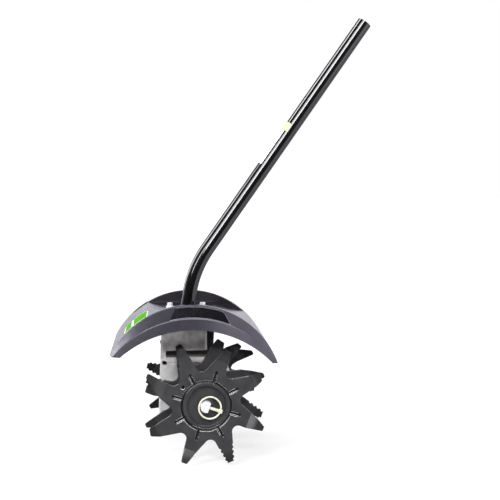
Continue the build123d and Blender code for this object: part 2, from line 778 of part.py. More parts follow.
with BuildPart() as gearbox:
    # Column in front of the wheel, and the round housing of the wheel.
    with BuildSketch(Plane.XZ) as lower_outline:
        Polygon(
            (-column_front, column_bottom),
            (-column_back, column_bottom),
            (-column_back, column_top),
            (column_lean - column_front, column_top),
            align=None,
        )
        Circle(wheel_case_r)
        for place in screw_places[3:]:
            with Locations(place):
                Circle(screw_ear_radius)
        fillet(vertices().group_by(Axis.X)[0], case_corner)
    extrude(amount=case_half_width, both=True)
    fillet(faces().filter_by(Axis.Y).edges(), case_edge_rounding)
    # Block that takes the tube and carries the guard.
    with BuildSketch(Plane.XZ):
        with Locations(((block_back - block_front) / 2, (block_bottom + case_top) / 2)):
            Rectangle(block_front + block_back, case_top - block_bottom)
        fillet(vertices().group_by(Axis.Y)[0], 2 * case_corner)
    extrude(amount=block_half_width, both=True)
    fillet(edges().filter_by(Axis.Z).group_by(Axis.Z)[-1], case_corner)
    # Cored space on both sides of the tube's socket, clear of the screws and the guard's bolts.
    with BuildSketch(Plane.XZ):
        with Locations(((block_back - block_front) / 2, (column_top + core_top) / 2)):
            Rectangle(block_front + block_back - 2 * case_wall, core_top - column_top)
        with Locations(*screw_places[:2]):
            Circle(screw_ear_radius, mode=Mode.SUBTRACT)
        with Locations((worm_middle.X, worm_middle.Z)):
            Rectangle(
                tube_od + 2 * case_wall, 4 * case_top, rotation=-tube_low_tilt, mode=Mode.SUBTRACT
            )
    extrude(amount=block_half_width - case_wall, both=True, mode=Mode.SUBTRACT)
    # Bosses for the axle's bearings.
    with BuildSketch(Plane.XZ):
        Circle(axle_bearing_od / 2 + case_wall + 2)
    extrude(amount=case_boss_y, both=True)
    # Slot cast between block and column, open at the back.
    slot_length = slot_front + block_back
    for side in (1, -1):
        with BuildSketch(Plane.XZ.offset(side * block_half_width)):
            with Locations((block_back - slot_length / 2, slot_bottom + slot_height / 2)):
                Rectangle(slot_length, slot_height)
        extrude(amount=-side * (block_half_width - case_half_width + slot_depth), mode=Mode.SUBTRACT)
    # Worm, its bearings, its head and the tube.
    bores = (
        (-worm_bearing_seat - worm_bearing_width - loose_gap, -worm_bearing_seat, worm_bearing_od / 2),
        (-worm_bearing_seat, worm_bearing_seat, worm_cavity_r),
        (worm_bearing_seat, worm_bearing_seat + worm_bearing_width + face_gap, worm_bearing_od / 2),
        (worm_bearing_seat + worm_bearing_width, tube_foot, worm_root_radius + oil_gap),
        (tube_foot - face_gap, tube_foot + 2 * case_top, tube_od / 2 + fit_gap),
    )
    for start, stop, radius in bores:
        with BuildSketch(low_plane(start)):
            Circle(radius)
        extrude(amount=stop - start, mode=Mode.SUBTRACT)
    # Wheel, bearings, seals and axle.
    for half_length, radius in (
        (wheel_width / 2 + oil_gap, wheel_cavity_r),
        (bearing_start, wheel_hub_d / 2 + oil_gap),
        (seal_start - face_gap / 2, axle_bearing_od / 2),
        (case_cover_y, seal_od / 2),
        (case_boss_y, axle_core_d / 2 + loose_gap),
    ):
        with BuildSketch(Plane.XZ):
            Circle(radius)
        extrude(amount=half_length, both=True, mode=Mode.SUBTRACT)
    # Screws of the parting plane.
    with BuildSketch(Plane.XZ.offset(screw_grip)):
        with Locations(*screw_places):
            Circle(case_screw_head_d / 2 + loose_gap)
    extrude(amount=block_half_width, mode=Mode.SUBTRACT)
    with BuildSketch(Plane.XZ):
        with Locations(*screw_places):
            Circle(case_screw_d / 2 + fit_gap)
    extrude(amount=screw_grip + face_gap, both=True, mode=Mode.SUBTRACT)
    # Plain hole low on the near side of the column.
    with BuildSketch(Plane.XZ.offset(case_half_width)):
        with Locations(column_hole):
            Circle(column_hole_d / 2)
    extrude(amount=-column_hole_depth, mode=Mode.SUBTRACT)
    # Guard bolts, tube clamp screw and grease plug.
    with BuildSketch(Plane(origin=(tube_at_platform.X, 0, case_top))):
        with Locations(*bolt_places):
            Circle(guard_bolt_d / 2 + fit_gap)
    extrude(amount=bolt_bottom - case_top - 1, mode=Mode.SUBTRACT)
    clamp_centre = low_plane(clamp_screw_height).origin
    with BuildSketch(Plane(origin=(clamp_centre.X, 0, clamp_centre.Z), z_dir=(0, -1, 0))):
        Circle(clamp_screw_d / 2 + fit_gap)
    extrude(amount=2 * block_half_width, mode=Mode.SUBTRACT)
    with BuildSketch(Plane(origin=(worm_middle.X, 0, worm_middle.Z), z_dir=(0, 1, 0))):
        Circle(plug_d / 2 + fit_gap)
    extrude(amount=2 * case_half_width, mode=Mode.SUBTRACT)

with BuildPart() as gearbox_near_half:
    add(gearbox.part)
    split(bisect_by=Plane.XZ, keep=Keep.TOP)
with BuildPart() as gearbox_far_half:
    add(gearbox.part)
    split(bisect_by=Plane.XZ, keep=Keep.BOTTOM)


def socket_screw(plane, diameter, length, head_d, head_height, socket):
    """Socket-head screw whose head stands on a plane and whose shank goes down from it."""
    with BuildPart() as screw:
        with BuildSketch(plane):
            Circle(head_d / 2)
        extrude(amount=head_height)
        chamfer(faces().sort_by(Axis(plane.origin, plane.z_dir))[-1].edges(), screw_chamfer)
        with BuildSketch(plane.offset(head_height)):
            RegularPolygon(socket / sqrt(3), 6)
        extrude(amount=-head_height / 2, mode=Mode.SUBTRACT)
        with BuildSketch(plane):
            Circle(diameter / 2)
        extrude(amount=-length)
    return screw.part


with BuildPart() as gearbox_screws:
    for x, z in screw_places:
        seat = Plane(origin=(x, -screw_grip, z), z_dir=(0, -1, 0))
        add(
            socket_screw(
                seat, case_screw_d, 2 * screw_grip, case_screw_head_d, case_screw_head, case_screw_socket
            )
        )

with BuildPart() as tube_clamp_screw:
    with BuildSketch(Plane(origin=(clamp_centre.X, -tube_bore_r - fit_gap, clamp_centre.Z), z_dir=(0, -1, 0))):
        Circle(clamp_screw_d / 2)
    extrude(amount=block_half_width - tube_bore_r - clamp_screw_sink)
    clamp_end = Vector(clamp_centre.X, clamp_screw_sink - block_half_width - fit_gap, clamp_centre.Z)
    with BuildSketch(Plane(origin=clamp_end, z_dir=(0, 1, 0))):
        RegularPolygon(clamp_screw_socket / sqrt(3), 6)
    extrude(amount=clamp_screw_d / 2, mode=Mode.SUBTRACT)

with BuildPart() as grease_plug:
    plug_seat = Plane(origin=(worm_middle.X, case_half_width + face_gap, worm_middle.Z), z_dir=(0, 1, 0))
    with BuildSketch(plug_seat):
        RegularPolygon(plug_head_radius, 6)
    extrude(amount=plug_head)
    with BuildSketch(plug_seat):
        Circle(plug_d / 2)
    extrude(amount=worm_cavity_r - case_half_width)


# ---------------------------------------------------------------- guard
guard_length = guard_front + guard_back
nose_front = (guard_middle_x - guard_front, guard_nose_front_z)
nose_back = (guard_middle_x + guard_back, guard_nose_back_z)
nose_drop = nose_front[1] - nose_back[1]


def arch_profile(plane, radius, apex, sink=0.0, reach_down=0.0):
    """Crescent between an arch, sunk by a wall, and the guard's lower edge, level at its noses."""
    with BuildSketch(plane) as profile:
        with Locations((guard_middle_x, apex - radius)):
            Circle(radius - sink)
        with Locations((guard_middle_x, guard_edge_apex - guard_edge_radius - reach_down)):
            Circle(guard_edge_radius, mode=Mode.SUBTRACT)
        with BuildLine():
            Polyline(
                (nose_front[0] - guard_length, nose_front[1] + nose_drop - reach_down),
                (nose_back[0] + guard_length, nose_back[1] - nose_drop - reach_down),
                (nose_back[0] + guard_length, -guard_length),
                (nose_front[0] - guard_length, -guard_length),
                close=True,
            )
        make_face(mode=Mode.SUBTRACT)
    return profile.sketch


def arch_body(sink, reach_down, inset):
    """The guard's arched bulk, or the space under its wall when sunk and inset."""
    thin_apex = guard_edge_apex + guard_edge_lip
    with BuildPart() as body:
        crown = arch_profile(
            Plane.XZ.offset(guard_ridge_y - inset), guard_ridge_radius, guard_ridge_apex, sink, reach_down
        )
        extrude(crown, amount=-2 * (guard_ridge_y - inset))
        for side in (1, -1):
            loft(
                [
                    arch_profile(
                        Plane.XZ.offset(side * (distance - inset)), radius, apex, sink, reach_down
                    )
                    for distance, radius, apex in (
                        (guard_ridge_y, guard_ridge_radius, guard_ridge_apex),
                        (guard_crease_y, guard_crease_radius, guard_crease_apex),
                        (guard_edge_y, guard_edge_radius, thin_apex),
                    )
                ],
                ruled=True,
            )
    return body.part


def pocket_body(grow):
    """Pocket sunk between the ridges, with a level floor that falls away at the back."""
    floor = guard_top_height - grow
    fall = guard_middle_x + pocket_level
    back = guard_middle_x + pocket_back + grow
    with BuildPart() as body:
        with BuildSketch(Plane.XZ):
            with BuildLine():
                Polyline(
                    (guard_middle_x - pocket_front - grow, floor),
                    (fall, floor),
                    (back, floor - pocket_fall),
                    (back, 2 * guard_ridge_apex),
                    (guard_middle_x - pocket_front - grow, 2 * guard_ridge_apex),
                    close=True,
                )
            make_face()
        extrude(amount=guard_edge_y, both=True)
        rise = guard_ridge_apex - guard_top_height
        spread = pocket_draft / rise
        low = guard_top_height - 2 * rise
        high = guard_top_height + 3 * rise
        with BuildSketch(Plane.YZ):
            with BuildLine():
                low_half = pocket_half_width + grow + (low - guard_top_height) * spread
                high_half = pocket_half_width + grow + (high - guard_top_height) * spread
                Polyline((-low_half, low), (low_half, low), (high_half, high), (-high_half, high), close=True)
            make_face()
        extrude(amount=3 * guard_back, both=True, mode=Mode.INTERSECT)
    return body.part


def side_arcs(body, distance):
    """The long arcs of an arched body at a distance from its middle, one on each side."""
    arcs = body.edges().filter_by(GeomType.CIRCLE)
    return arcs.filter_by(lambda arc: abs(abs(arc.center().Y) - distance) < face_gap)


def panel_body():
    """Blocks that mark out the two panels, wider at the crease than at the ridge."""
    with BuildPart() as body:
        with BuildSketch(Plane.XZ):
            Polygon(
                (guard_middle_x - panel_front, guard_edge_apex),
                (guard_middle_x + panel_back, guard_edge_apex),
                (guard_middle_x + panel_back - panel_slant, guard_ridge_apex),
                (guard_middle_x - panel_front + panel_slant, guard_ridge_apex),
                align=None,
            )
        extrude(amount=guard_crease_y - panel_margin, both=True)
        with BuildSketch(Plane.XZ):
            Rectangle(2 * guard_length, 2 * guard_length)
        extrude(amount=guard_ridge_y + panel_margin, both=True, mode=Mode.SUBTRACT)
    return body.part


arch_outside = arch_body(0.0, 0.0, 0.0)
arch_outside = arch_outside.fillet(guard_ridge_rounding, side_arcs(arch_outside, guard_ridge_y))
arch_outside = arch_outside.fillet(guard_crease_rounding, side_arcs(arch_outside, guard_crease_y))
arch_inside = arch_body(guard_wall, guard_reach_down, guard_wall * guard_side_share)
arch_under_panels = arch_body(panel_sink, guard_reach_down, panel_sink)
with BuildPart() as guard:
    add(pocket_body(guard_wall))
    add(arch_outside, mode=Mode.INTERSECT)
    add(arch_outside - arch_inside)
    add(pocket_body(0.0), mode=Mode.SUBTRACT)
    add(panel_body() - arch_under_panels, mode=Mode.SUBTRACT)
    with BuildSketch(low_plane(tube_foot)):
        Circle(tube_od / 2 + tube_clearance)
    extrude(amount=2 * case_top, mode=Mode.SUBTRACT)
    with BuildSketch(Plane(origin=(tube_at_platform.X, 0, guard_top_height))):
        with Locations(*bolt_places):
            Circle(guard_bolt_d / 2 + loose_gap)
    extrude(amount=-2 * guard_wall, mode=Mode.SUBTRACT)

with BuildPart() as guard_bolts:
    for x, y in bolt_places:
        seat = Plane(origin=(tube_at_platform.X + x, y, guard_top_height + washer_thickness))
        add(
            socket_screw(
                seat, guard_bolt_d, guard_bolt_length, guard_bolt_head_d, guard_bolt_head, guard_bolt_socket
            )
        )

with BuildPart() as guard_washers:
    with BuildSketch(Plane(origin=(tube_at_platform.X, 0, guard_top_height))):
        with Locations(*bolt_places):
            Circle(washer_d / 2)
            Circle(guard_bolt_d / 2 + loose_gap, mode=Mode.SUBTRACT)
    extrude(amount=washer_thickness)

# ---------------------------------------------------------------- origin and export
pieces = {
    "shaft_tube": shaft_tube,
    "shaft_liner": shaft_liner,
    "flex_cable": flex_cable,
    "top_bushing": top_bushing,
    "lower_bushing": lower_bushing,
    "cable_drive_end": cable_drive_end,
    "worm_shaft": worm_shaft,
    "worm_wheel": worm_wheel,
    "wheel_key": wheel_key,
    "tine_axle": tine_axle,
    "worm_bearing_top": worm_bearing_top,
    "worm_bearing_bottom": worm_bearing_bottom,
    "axle_bearing_near": axle_bearing_near,
    "axle_bearing_far": axle_bearing_far,
    "axle_seal_near": axle_seal_near,
    "axle_seal_far": axle_seal_far,
    "felt_washer_near": felt_washer_near,
    "felt_washer_far": felt_washer_far,
    "tine_outer_near": tine_outer_near,
    "tine_inner_near": tine_inner_near,
    "tine_inner_far": tine_inner_far,
    "tine_outer_far": tine_outer_far,
    "hub_outer_near": hub_outer_near,
    "hub_inner_near": hub_inner_near,
    "hub_inner_far": hub_inner_far,
    "hub_outer_far": hub_outer_far,
    "lock_pin_near": lock_pin_near,
    "lock_pin_far": lock_pin_far,
    "lock_ring_near": lock_ring_near,
    "lock_ring_far": lock_ring_far,
    "gearbox_near_half": gearbox_near_half,
    "gearbox_far_half": gearbox_far_half,
    "gearbox_screws": gearbox_screws,
    "tube_clamp_screw": tube_clamp_screw,
    "grease_plug": grease_plug,
    "guard": guard,
    "guard_bolts": guard_bolts,
    "guard_washers": guard_washers,
}
boxes = [piece.part.bounding_box() for piece in pieces.values()]
origin = Vector(
    (min(box.min.X for box in boxes) + max(box.max.X for box in boxes)) / 2,
    (min(box.min.Y for box in boxes) + max(box.max.Y for box in boxes)) / 2,
    min(box.min.Z for box in boxes),
)
for name, piece in pieces.items():
    placed = piece.part.moved(Location(-origin))
    placed.label = name
    export_step(placed, f"parts/{name}.step")

print(f"axle centre {(-origin).X:.4f} {(-origin).Y:.4f} {(-origin).Z:.4f}")
print(f"tube: {shaft_tube.part.volume:.0f} mm3, {len(pieces)} pieces")
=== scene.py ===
# %% [markdown]
# # A mini cultivator, dressed for the shelf
# The rigid model of a garden cultivator that clips to a split trimmer boom comes in as a fixed frame: a bent
# steel tube, a moulded guard, a cast gearbox and four star tines on one axle. This lesson gives every piece
# its finish, adds the thin things that are stuck on, and lights it on a pale studio floor.

# %% Load the frame and measure it
import json
import math

import bmesh
import bpy
from mathutils import Matrix, Vector


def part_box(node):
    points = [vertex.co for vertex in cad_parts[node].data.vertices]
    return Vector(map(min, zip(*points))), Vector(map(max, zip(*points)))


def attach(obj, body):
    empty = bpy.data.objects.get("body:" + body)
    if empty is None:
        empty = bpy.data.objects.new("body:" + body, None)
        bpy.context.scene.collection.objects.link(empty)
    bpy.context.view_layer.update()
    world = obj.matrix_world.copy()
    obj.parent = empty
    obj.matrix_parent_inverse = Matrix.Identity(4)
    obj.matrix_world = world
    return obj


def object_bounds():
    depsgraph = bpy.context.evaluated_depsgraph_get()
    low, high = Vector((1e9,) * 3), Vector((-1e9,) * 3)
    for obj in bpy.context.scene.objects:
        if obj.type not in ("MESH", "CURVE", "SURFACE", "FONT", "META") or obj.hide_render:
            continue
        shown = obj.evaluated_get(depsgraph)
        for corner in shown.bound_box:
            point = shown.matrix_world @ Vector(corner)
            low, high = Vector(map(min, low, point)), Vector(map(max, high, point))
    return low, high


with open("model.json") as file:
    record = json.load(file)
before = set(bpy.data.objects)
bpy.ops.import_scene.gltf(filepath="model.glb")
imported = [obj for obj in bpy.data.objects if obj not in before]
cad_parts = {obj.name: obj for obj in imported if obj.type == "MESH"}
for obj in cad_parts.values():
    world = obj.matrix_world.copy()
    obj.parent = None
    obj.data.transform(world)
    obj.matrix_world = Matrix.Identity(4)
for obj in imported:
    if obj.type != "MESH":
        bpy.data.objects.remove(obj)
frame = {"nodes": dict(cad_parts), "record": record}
frame_low, frame_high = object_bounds()
nodes = frame["nodes"]
bpy.ops.object.select_all(action="DESELECT")

MM = 0.001


def middle(node):
    """The centre of a node's box."""
    low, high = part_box(node)
    return (low + high) / 2


axle_middle = middle("tine_axle")
guard_low, guard_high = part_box("guard")
print("nodes", len(nodes), "axle at", [round(v, 4) for v in axle_middle])

# %% [markdown]
# ## The camera
# The tool is seen from its near side and a little above, with a fairly long lens so that the four tines
# still line up. The camera stands a metre and a half away, turned slightly to the right and looking down a
# few degrees.

# %% Set up the camera
CAMERA_PLACE = (-0.1342, -1.5430, 0.4858)
CAMERA_DOWN = 4.65
CAMERA_RIGHT = 5.52
CAMERA_LENS = 62.54
CAMERA_SENSOR = 36
CAMERA_NEAREST = 0.05
CAMERA_FARTHEST = 60

camera_data = bpy.data.cameras.new("studio_camera")
camera_data.lens = CAMERA_LENS
camera_data.sensor_width = CAMERA_SENSOR
camera_data.clip_start = CAMERA_NEAREST
camera_data.clip_end = CAMERA_FARTHEST
camera = bpy.data.objects.new("studio_camera", camera_data)
bpy.context.scene.collection.objects.link(camera)
camera.location = CAMERA_PLACE
camera.rotation_euler = (math.radians(90 - CAMERA_DOWN), 0, math.radians(-CAMERA_RIGHT))
bpy.context.scene.camera = camera
bpy.context.scene.view_settings.view_transform = "Standard"
print("camera", CAMERA_LENS, "mm")

# %% [markdown]
# ## Node trees
# Finishes, floor and room are all networks of small nodes. A node could be added and linked by hand each
# time, but the same few steps come again and again, so they are written once here as helpers. Each takes
# sockets or plain numbers and gives a socket back, so that they can be put one inside another.


# %% Helpers for node trees
def add_node(tree, kind, **settings):
    """A shader node; the settings are its own properties, such as its operation."""
    node = tree.nodes.new(kind)
    for name, value in settings.items():
        setattr(node, name, value)
    return node


def fill(node, **values):
    """Sets sockets by name, with _ for a space."""
    for name, value in values.items():
        node.inputs[name.replace("_", " ")].default_value = value
    return node


def join(tree, value, socket):
    """Puts a number in a socket, or links another socket to it."""
    if isinstance(value, (int, float)):
        socket.default_value = value
    else:
        tree.links.new(value, socket)


def ramp(tree, factor, stops):
    """A colour ramp on factor; stops are (place, colour)."""
    node = add_node(tree, "ShaderNodeValToRGB")
    band = node.color_ramp
    while len(band.elements) < len(stops):
        band.elements.new(0.5)
    for element, (place, colour) in zip(band.elements, stops):
        element.position = place
        element.color = (*colour, 1)
    tree.links.new(factor, node.inputs["Fac"])
    return node.outputs["Color"]


def math_node(tree, operation, first, second=0.5):
    """A maths node; first and second are sockets or numbers."""
    node = add_node(tree, "ShaderNodeMath", operation=operation)
    join(tree, first, node.inputs[0])
    join(tree, second, node.inputs[1])
    return node.outputs[0]


def product(tree, first, *others):
    """Masks multiplied together, which is 1 only where all of them are."""
    for other in others:
        first = math_node(tree, "MULTIPLY", first, other)
    return first


def mix_values(tree, amount, first, second):
    """Runs from first to second as amount goes from 0 to 1; each is a socket or a number."""
    node = add_node(tree, "ShaderNodeMix", data_type="FLOAT")
    for socket, value in zip(node.inputs[0:1] + node.inputs[2:4], (amount, first, second)):
        join(tree, value, socket)
    return node.outputs[0]


def smooth_step(tree, value, low, high, bottom=0.0, top=1.0):
    """Runs softly from bottom to top as value goes from low to high."""
    node = fill(
        add_node(tree, "ShaderNodeMapRange", interpolation_type="SMOOTHSTEP"),
        From_Min=low, From_Max=high, To_Min=bottom, To_Max=top,
    )
    tree.links.new(value, node.inputs["Value"])
    return node.outputs[0]


def along(tree, vector, axis):
    """How far a direction points along an axis, from -1 to 1."""
    node = add_node(tree, "ShaderNodeVectorMath", operation="DOT_PRODUCT")
    tree.links.new(vector, node.inputs[0])
    node.inputs[1].default_value = axis
    return node.outputs["Value"]


def seen_directly(tree, path):
    """1 for rays that come from the camera or through glass, and 0 for light and mirrors."""
    return math_node(tree, "MAXIMUM", path.outputs["Is Camera Ray"], path.outputs["Is Transmission Ray"])


# %% [markdown]
# ## The room
# Gloss black shows what stands round it more than its own colour, so the studio is mostly reflections. A
# room with real walls could be built, but a world that works out its brightness from the direction alone is
# quicker to tune. It gives mirrors a dark wall towards the camera, a pale one behind the
# tool and a pale card at the lower right. The light that falls on the tool is a separate, even grey, and
# what the camera itself sees is plain white.

# %% How bright the room is in each direction
ROOM_LIGHT = 0.28
MIRROR_TINT = (0.94, 0.92, 1.0, 1)
FORWARD = (0, 1, 0)
UP = (0, 0, 1)
RIGHT_CARD = (0.82, 0.0, -0.57)

# Runs along a direction: where each starts and ends, and how bright it is at its start and at its end.
WALLS = (-0.22, 0.12, 0.05, 1.1)
LEFT_FLAG = (-0.30, 0.05, 0.10, 0.62)
CEILING = (0.60, 0.85, 1.0, 0.12)
HORIZON = (-0.05, 0.10, 0.85, 1.15)
CARD = (-0.6, 0.75, 1.9, 0.55)
FLAG_BEHIND = (0.45, 0.72)
STRAIGHT_BEHIND = (0.93, 0.98)
CARD_EDGE = (0.66, 0.76)

world = bpy.data.worlds.new("studio_room")
bpy.context.scene.world = world
world.use_nodes = True
tree = world.node_tree
tree.nodes.clear()
direction = add_node(tree, "ShaderNodeTexCoord").outputs["Generated"]
depth = along(tree, direction, FORWARD)
rightwards = along(tree, direction, RIGHT_CARD)
height = along(tree, direction, UP)
walls = smooth_step(tree, depth, *WALLS)
flagged = product(tree, walls, smooth_step(tree, rightwards, *LEFT_FLAG))
room = mix_values(tree, smooth_step(tree, depth, *FLAG_BEHIND), walls, flagged)
room = product(tree, room, smooth_step(tree, height, *CEILING))
horizon = smooth_step(tree, height, *HORIZON)
room = mix_values(tree, smooth_step(tree, depth, *STRAIGHT_BEHIND), room, horizon)
card = smooth_step(tree, rightwards, *CARD_EDGE)
mirror_level = mix_values(tree, card, room, smooth_step(tree, depth, *CARD))
print("walls from", WALLS[2], "to", WALLS[3])

# %% A strip of light that only mirrors see
STRIP_TURN = 106
STRIP_HALF_WIDTH = 0.17
STRIP_REACH = 21
STRIP_LEVEL = 2.5
STRIP_SIDE_BLUR = 0.15
STRIP_END_BLUR = 0.01


def round_tube(degrees):
    """The direction so far from the camera's, turned to the upper left round the tube."""
    angle = math.radians(degrees)
    return -Vector(RIGHT_CARD) * math.sin(angle) + Vector((0, -math.cos(angle), 0))


strip_towards = round_tube(STRIP_TURN).normalized()
strip_across = round_tube(STRIP_TURN + 90).normalized()
aside = math_node(tree, "ABSOLUTE", along(tree, direction, strip_across))
inner_edge = (1 - STRIP_SIDE_BLUR) * STRIP_HALF_WIDTH
outer_edge = (1 + STRIP_SIDE_BLUR) * STRIP_HALF_WIDTH
inside = smooth_step(tree, aside, inner_edge, outer_edge, 1.0, 0.0)
end = math.cos(math.radians(STRIP_REACH))
front = smooth_step(tree, along(tree, direction, strip_towards), end - STRIP_END_BLUR, end + STRIP_END_BLUR)
mirror_level = mix_values(tree, product(tree, inside, front), mirror_level, STRIP_LEVEL)
print("strip", 2 * STRIP_REACH, "degrees long")


# %% Choose what each kind of ray meets
def flat_light(tree, strength, colour=(1, 1, 1, 1)):
    """Light of one colour from all round; strength is a socket or a number."""
    node = fill(add_node(tree, "ShaderNodeBackground"), Color=colour)
    join(tree, strength, node.inputs["Strength"])
    return node.outputs[0]


def choose(tree, amount, first, second):
    """A shader that goes from first to second as amount goes from 0 to 1."""
    node = add_node(tree, "ShaderNodeMixShader")
    for socket, value in zip(node.inputs, (amount, first, second)):
        tree.links.new(value, socket)
    return node.outputs[0]


path = add_node(tree, "ShaderNodeLightPath")
light_room = flat_light(tree, ROOM_LIGHT)
mirror_room = flat_light(tree, mirror_level, MIRROR_TINT)
white_room = flat_light(tree, 1.0)
unseen_room = choose(tree, path.outputs["Is Glossy Ray"], light_room, mirror_room)
whole_room = choose(tree, seen_directly(tree, path), unseen_room, white_room)
tree.links.new(whole_room, add_node(tree, "ShaderNodeOutputWorld").inputs[0])
print("room", ROOM_LIGHT)

# %% [markdown]
# ## The lamps
# Five soft boxes light the tool: a key from the upper left, a small one that picks out the edges of the
# tines, one above, a wide one from the right that fills the shadows, and one behind. The tube needs two thin
# bright lines that run its whole length, and boxes wide enough for that would wash out the guard. So two long
# strips are linked to the tube alone and give it only mirror light, and the box for the edges is linked to
# all but the tube.


# %% The soft boxes
def soft_box(name, place, towards, width, height, power, tilt=0):
    """A rectangular area light; tilt turns it about its own axis, in degrees."""
    light = bpy.data.lights.new(name, "AREA")
    light.shape = "RECTANGLE"
    light.size = width
    light.size_y = height
    light.energy = power
    holder = bpy.data.objects.new(name, light)
    bpy.context.scene.collection.objects.link(holder)
    holder.location = place
    holder.rotation_euler = (Vector(towards) - Vector(place)).to_track_quat("-Z", "Y").to_euler()
    holder.rotation_euler.rotate_axis("Z", math.radians(tilt))
    holder.visible_camera = False
    return holder


tool_middle = (frame_low + frame_high) / 2
tube_middle = Vector((0.11, 0, 0.50))
soft_box("key_box", (-1.03, -1.29, 1.30), tube_middle, width=0.32, height=1.6, power=30, tilt=-30)
edge_box = soft_box("edge_box", (0.015, -1.44, 0.99), axle_middle, width=0.5, height=0.14, power=14)
soft_box("top_box", (-0.1, 0.30, 2.1), tool_middle, width=0.8, height=0.8, power=9)
soft_box("fill_box", (1.7, -1.2, 0.7), tool_middle, width=1.4, height=1.4, power=7)
soft_box("rim_box", (-1.2, 0.65, 0.9), tube_middle, width=0.35, height=1.4, power=14, tilt=-30)

# %% Two long strip boxes for the tube alone
STRIP_DISTANCE = 5.0
TUBE_AXIS = Vector((0.57, 0.0, 0.82)).normalized()


def group_of(name, piece, state="INCLUDE"):
    """A collection that tells a lamp to light only one piece, or all but it."""
    group = bpy.data.collections.new(name)
    group.objects.link(piece)
    group.collection_objects[0].light_linking.link_state = state
    return group


tube_only = group_of("tube_only", nodes["shaft_tube"])
edge_box.light_linking.receiver_collection = group_of("all_but_the_tube", nodes["shaft_tube"], "EXCLUDE")


def strip_box(name, degrees, half_width, along_tube, length, glare):
    """A strip box parallel to the tube, so many degrees round it from the camera.

    half_width is in degrees as seen from the tube, and glare is how bright its face is.
    """
    away = round_tube(degrees).normalized()
    width = 2 * STRIP_DISTANCE * math.tan(math.radians(half_width))
    place = tube_middle + away * STRIP_DISTANCE + TUBE_AXIS * along_tube
    strip = soft_box(name, place, tube_middle, width, length, glare * math.pi * width * length)
    strip.rotation_euler = Matrix((TUBE_AXIS.cross(away), TUBE_AXIS, away)).transposed().to_euler()
    strip.visible_diffuse = False
    strip.light_linking.receiver_collection = tube_only


strip_box("inner_strip", degrees=28, half_width=7.5, along_tube=0.75, length=2.5, glare=30)
strip_box("outer_strip", degrees=103, half_width=6.5, along_tube=1.5, length=1.9, glare=18)

# %% [markdown]
# ## The floor
# A white floor under a black tool would either show its own edge or lose the shadow. This one is a matt grey
# sheet that is mixed with plain white glow for the camera only. The mix is weak near the tool, where it
# keeps the shadow, and nearly whole further out, where the floor runs into the white of the room.

# %% Lay the floor
FLOOR_SIZE = 40
FLOOR_DROP = 0.1 * MM
FLOOR_GREY = (0.80, 0.80, 0.80, 1)
FLOOR_GLOW = 1.2
FLOOR_NEAR_WHITE = 0.62
FLOOR_FAR_WHITE = 0.97
SHADOW_NEAR = 0.30
SHADOW_FAR = 0.75

bpy.ops.mesh.primitive_plane_add(size=FLOOR_SIZE, location=(0, 0, frame_low.z - FLOOR_DROP))
floor = bpy.context.object
floor.name = "studio_floor"
floor.visible_glossy = False
white_floor = bpy.data.materials.new("white_floor")
white_floor.use_nodes = True
tree = white_floor.node_tree
tree.nodes.clear()
shade = fill(add_node(tree, "ShaderNodeBsdfDiffuse"), Color=FLOOR_GREY)
glow = fill(add_node(tree, "ShaderNodeEmission"), Color=(1, 1, 1, 1), Strength=FLOOR_GLOW)
far_off = add_node(tree, "ShaderNodeVectorMath", operation="LENGTH")
tree.links.new(add_node(tree, "ShaderNodeTexCoord").outputs["Object"], far_off.inputs[0])
distance = far_off.outputs["Value"]
whiteness = smooth_step(tree, distance, SHADOW_NEAR, SHADOW_FAR, FLOOR_NEAR_WHITE, FLOOR_FAR_WHITE)
seen = seen_directly(tree, add_node(tree, "ShaderNodeLightPath"))
surface = choose(tree, product(tree, seen, whiteness), shade.outputs[0], glow.outputs[0])
tree.links.new(surface, add_node(tree, "ShaderNodeOutputMaterial").inputs[0])
floor.data.materials.append(white_floor)
print("floor at", round(floor.location.z, 5))

# %% [markdown]
# ## Finishes
# Every finish starts from one physically based shader. Grain and mottling come from noise that is read in
# the piece's own coordinates, in metres, so a 1 mm speckle is a scale of about 1000. Painted and moulded
# pieces get a fine bump, and bare metal gets a roughness that wanders.


# %% Helpers for finishes
def new_finish(name, colour, metallic, roughness):
    """A material with one shader, and the socket that gives a place in the piece."""
    material = bpy.data.materials.new(name)
    material.use_nodes = True
    tree = material.node_tree
    shader = tree.nodes["Principled BSDF"]
    fill(shader, Base_Color=(*colour, 1), Metallic=metallic, Roughness=roughness)
    place = add_node(tree, "ShaderNodeTexCoord").outputs["Object"]
    return material, tree, shader, place


def speckle(tree, place, size_mm, detail=3.0, stretch=(1, 1, 1)):
    """Noise from 0 to 1 with lumps of about size_mm, drawn out along an axis by stretch."""
    mapping = add_node(tree, "ShaderNodeMapping")
    mapping.inputs["Scale"].default_value = stretch
    tree.links.new(place, mapping.inputs["Vector"])
    noise = fill(add_node(tree, "ShaderNodeTexNoise"), Scale=1 / (size_mm * MM), Detail=detail)
    tree.links.new(mapping.outputs[0], noise.inputs["Vector"])
    return noise.outputs["Fac"]


def colour_between(tree, shader, amount, stops):
    """The base colour follows a ramp on amount."""
    tree.links.new(ramp(tree, amount, stops), shader.inputs["Base Color"])


def roughness_between(tree, shader, amount, low, high):
    """The roughness runs from low to high as amount runs over the middle of its range."""
    span = add_node(tree, "ShaderNodeMapRange")
    fill(span, From_Min=0.3, From_Max=0.7, To_Min=low, To_Max=high)
    tree.links.new(amount, span.inputs["Value"])
    tree.links.new(span.outputs[0], shader.inputs["Roughness"])


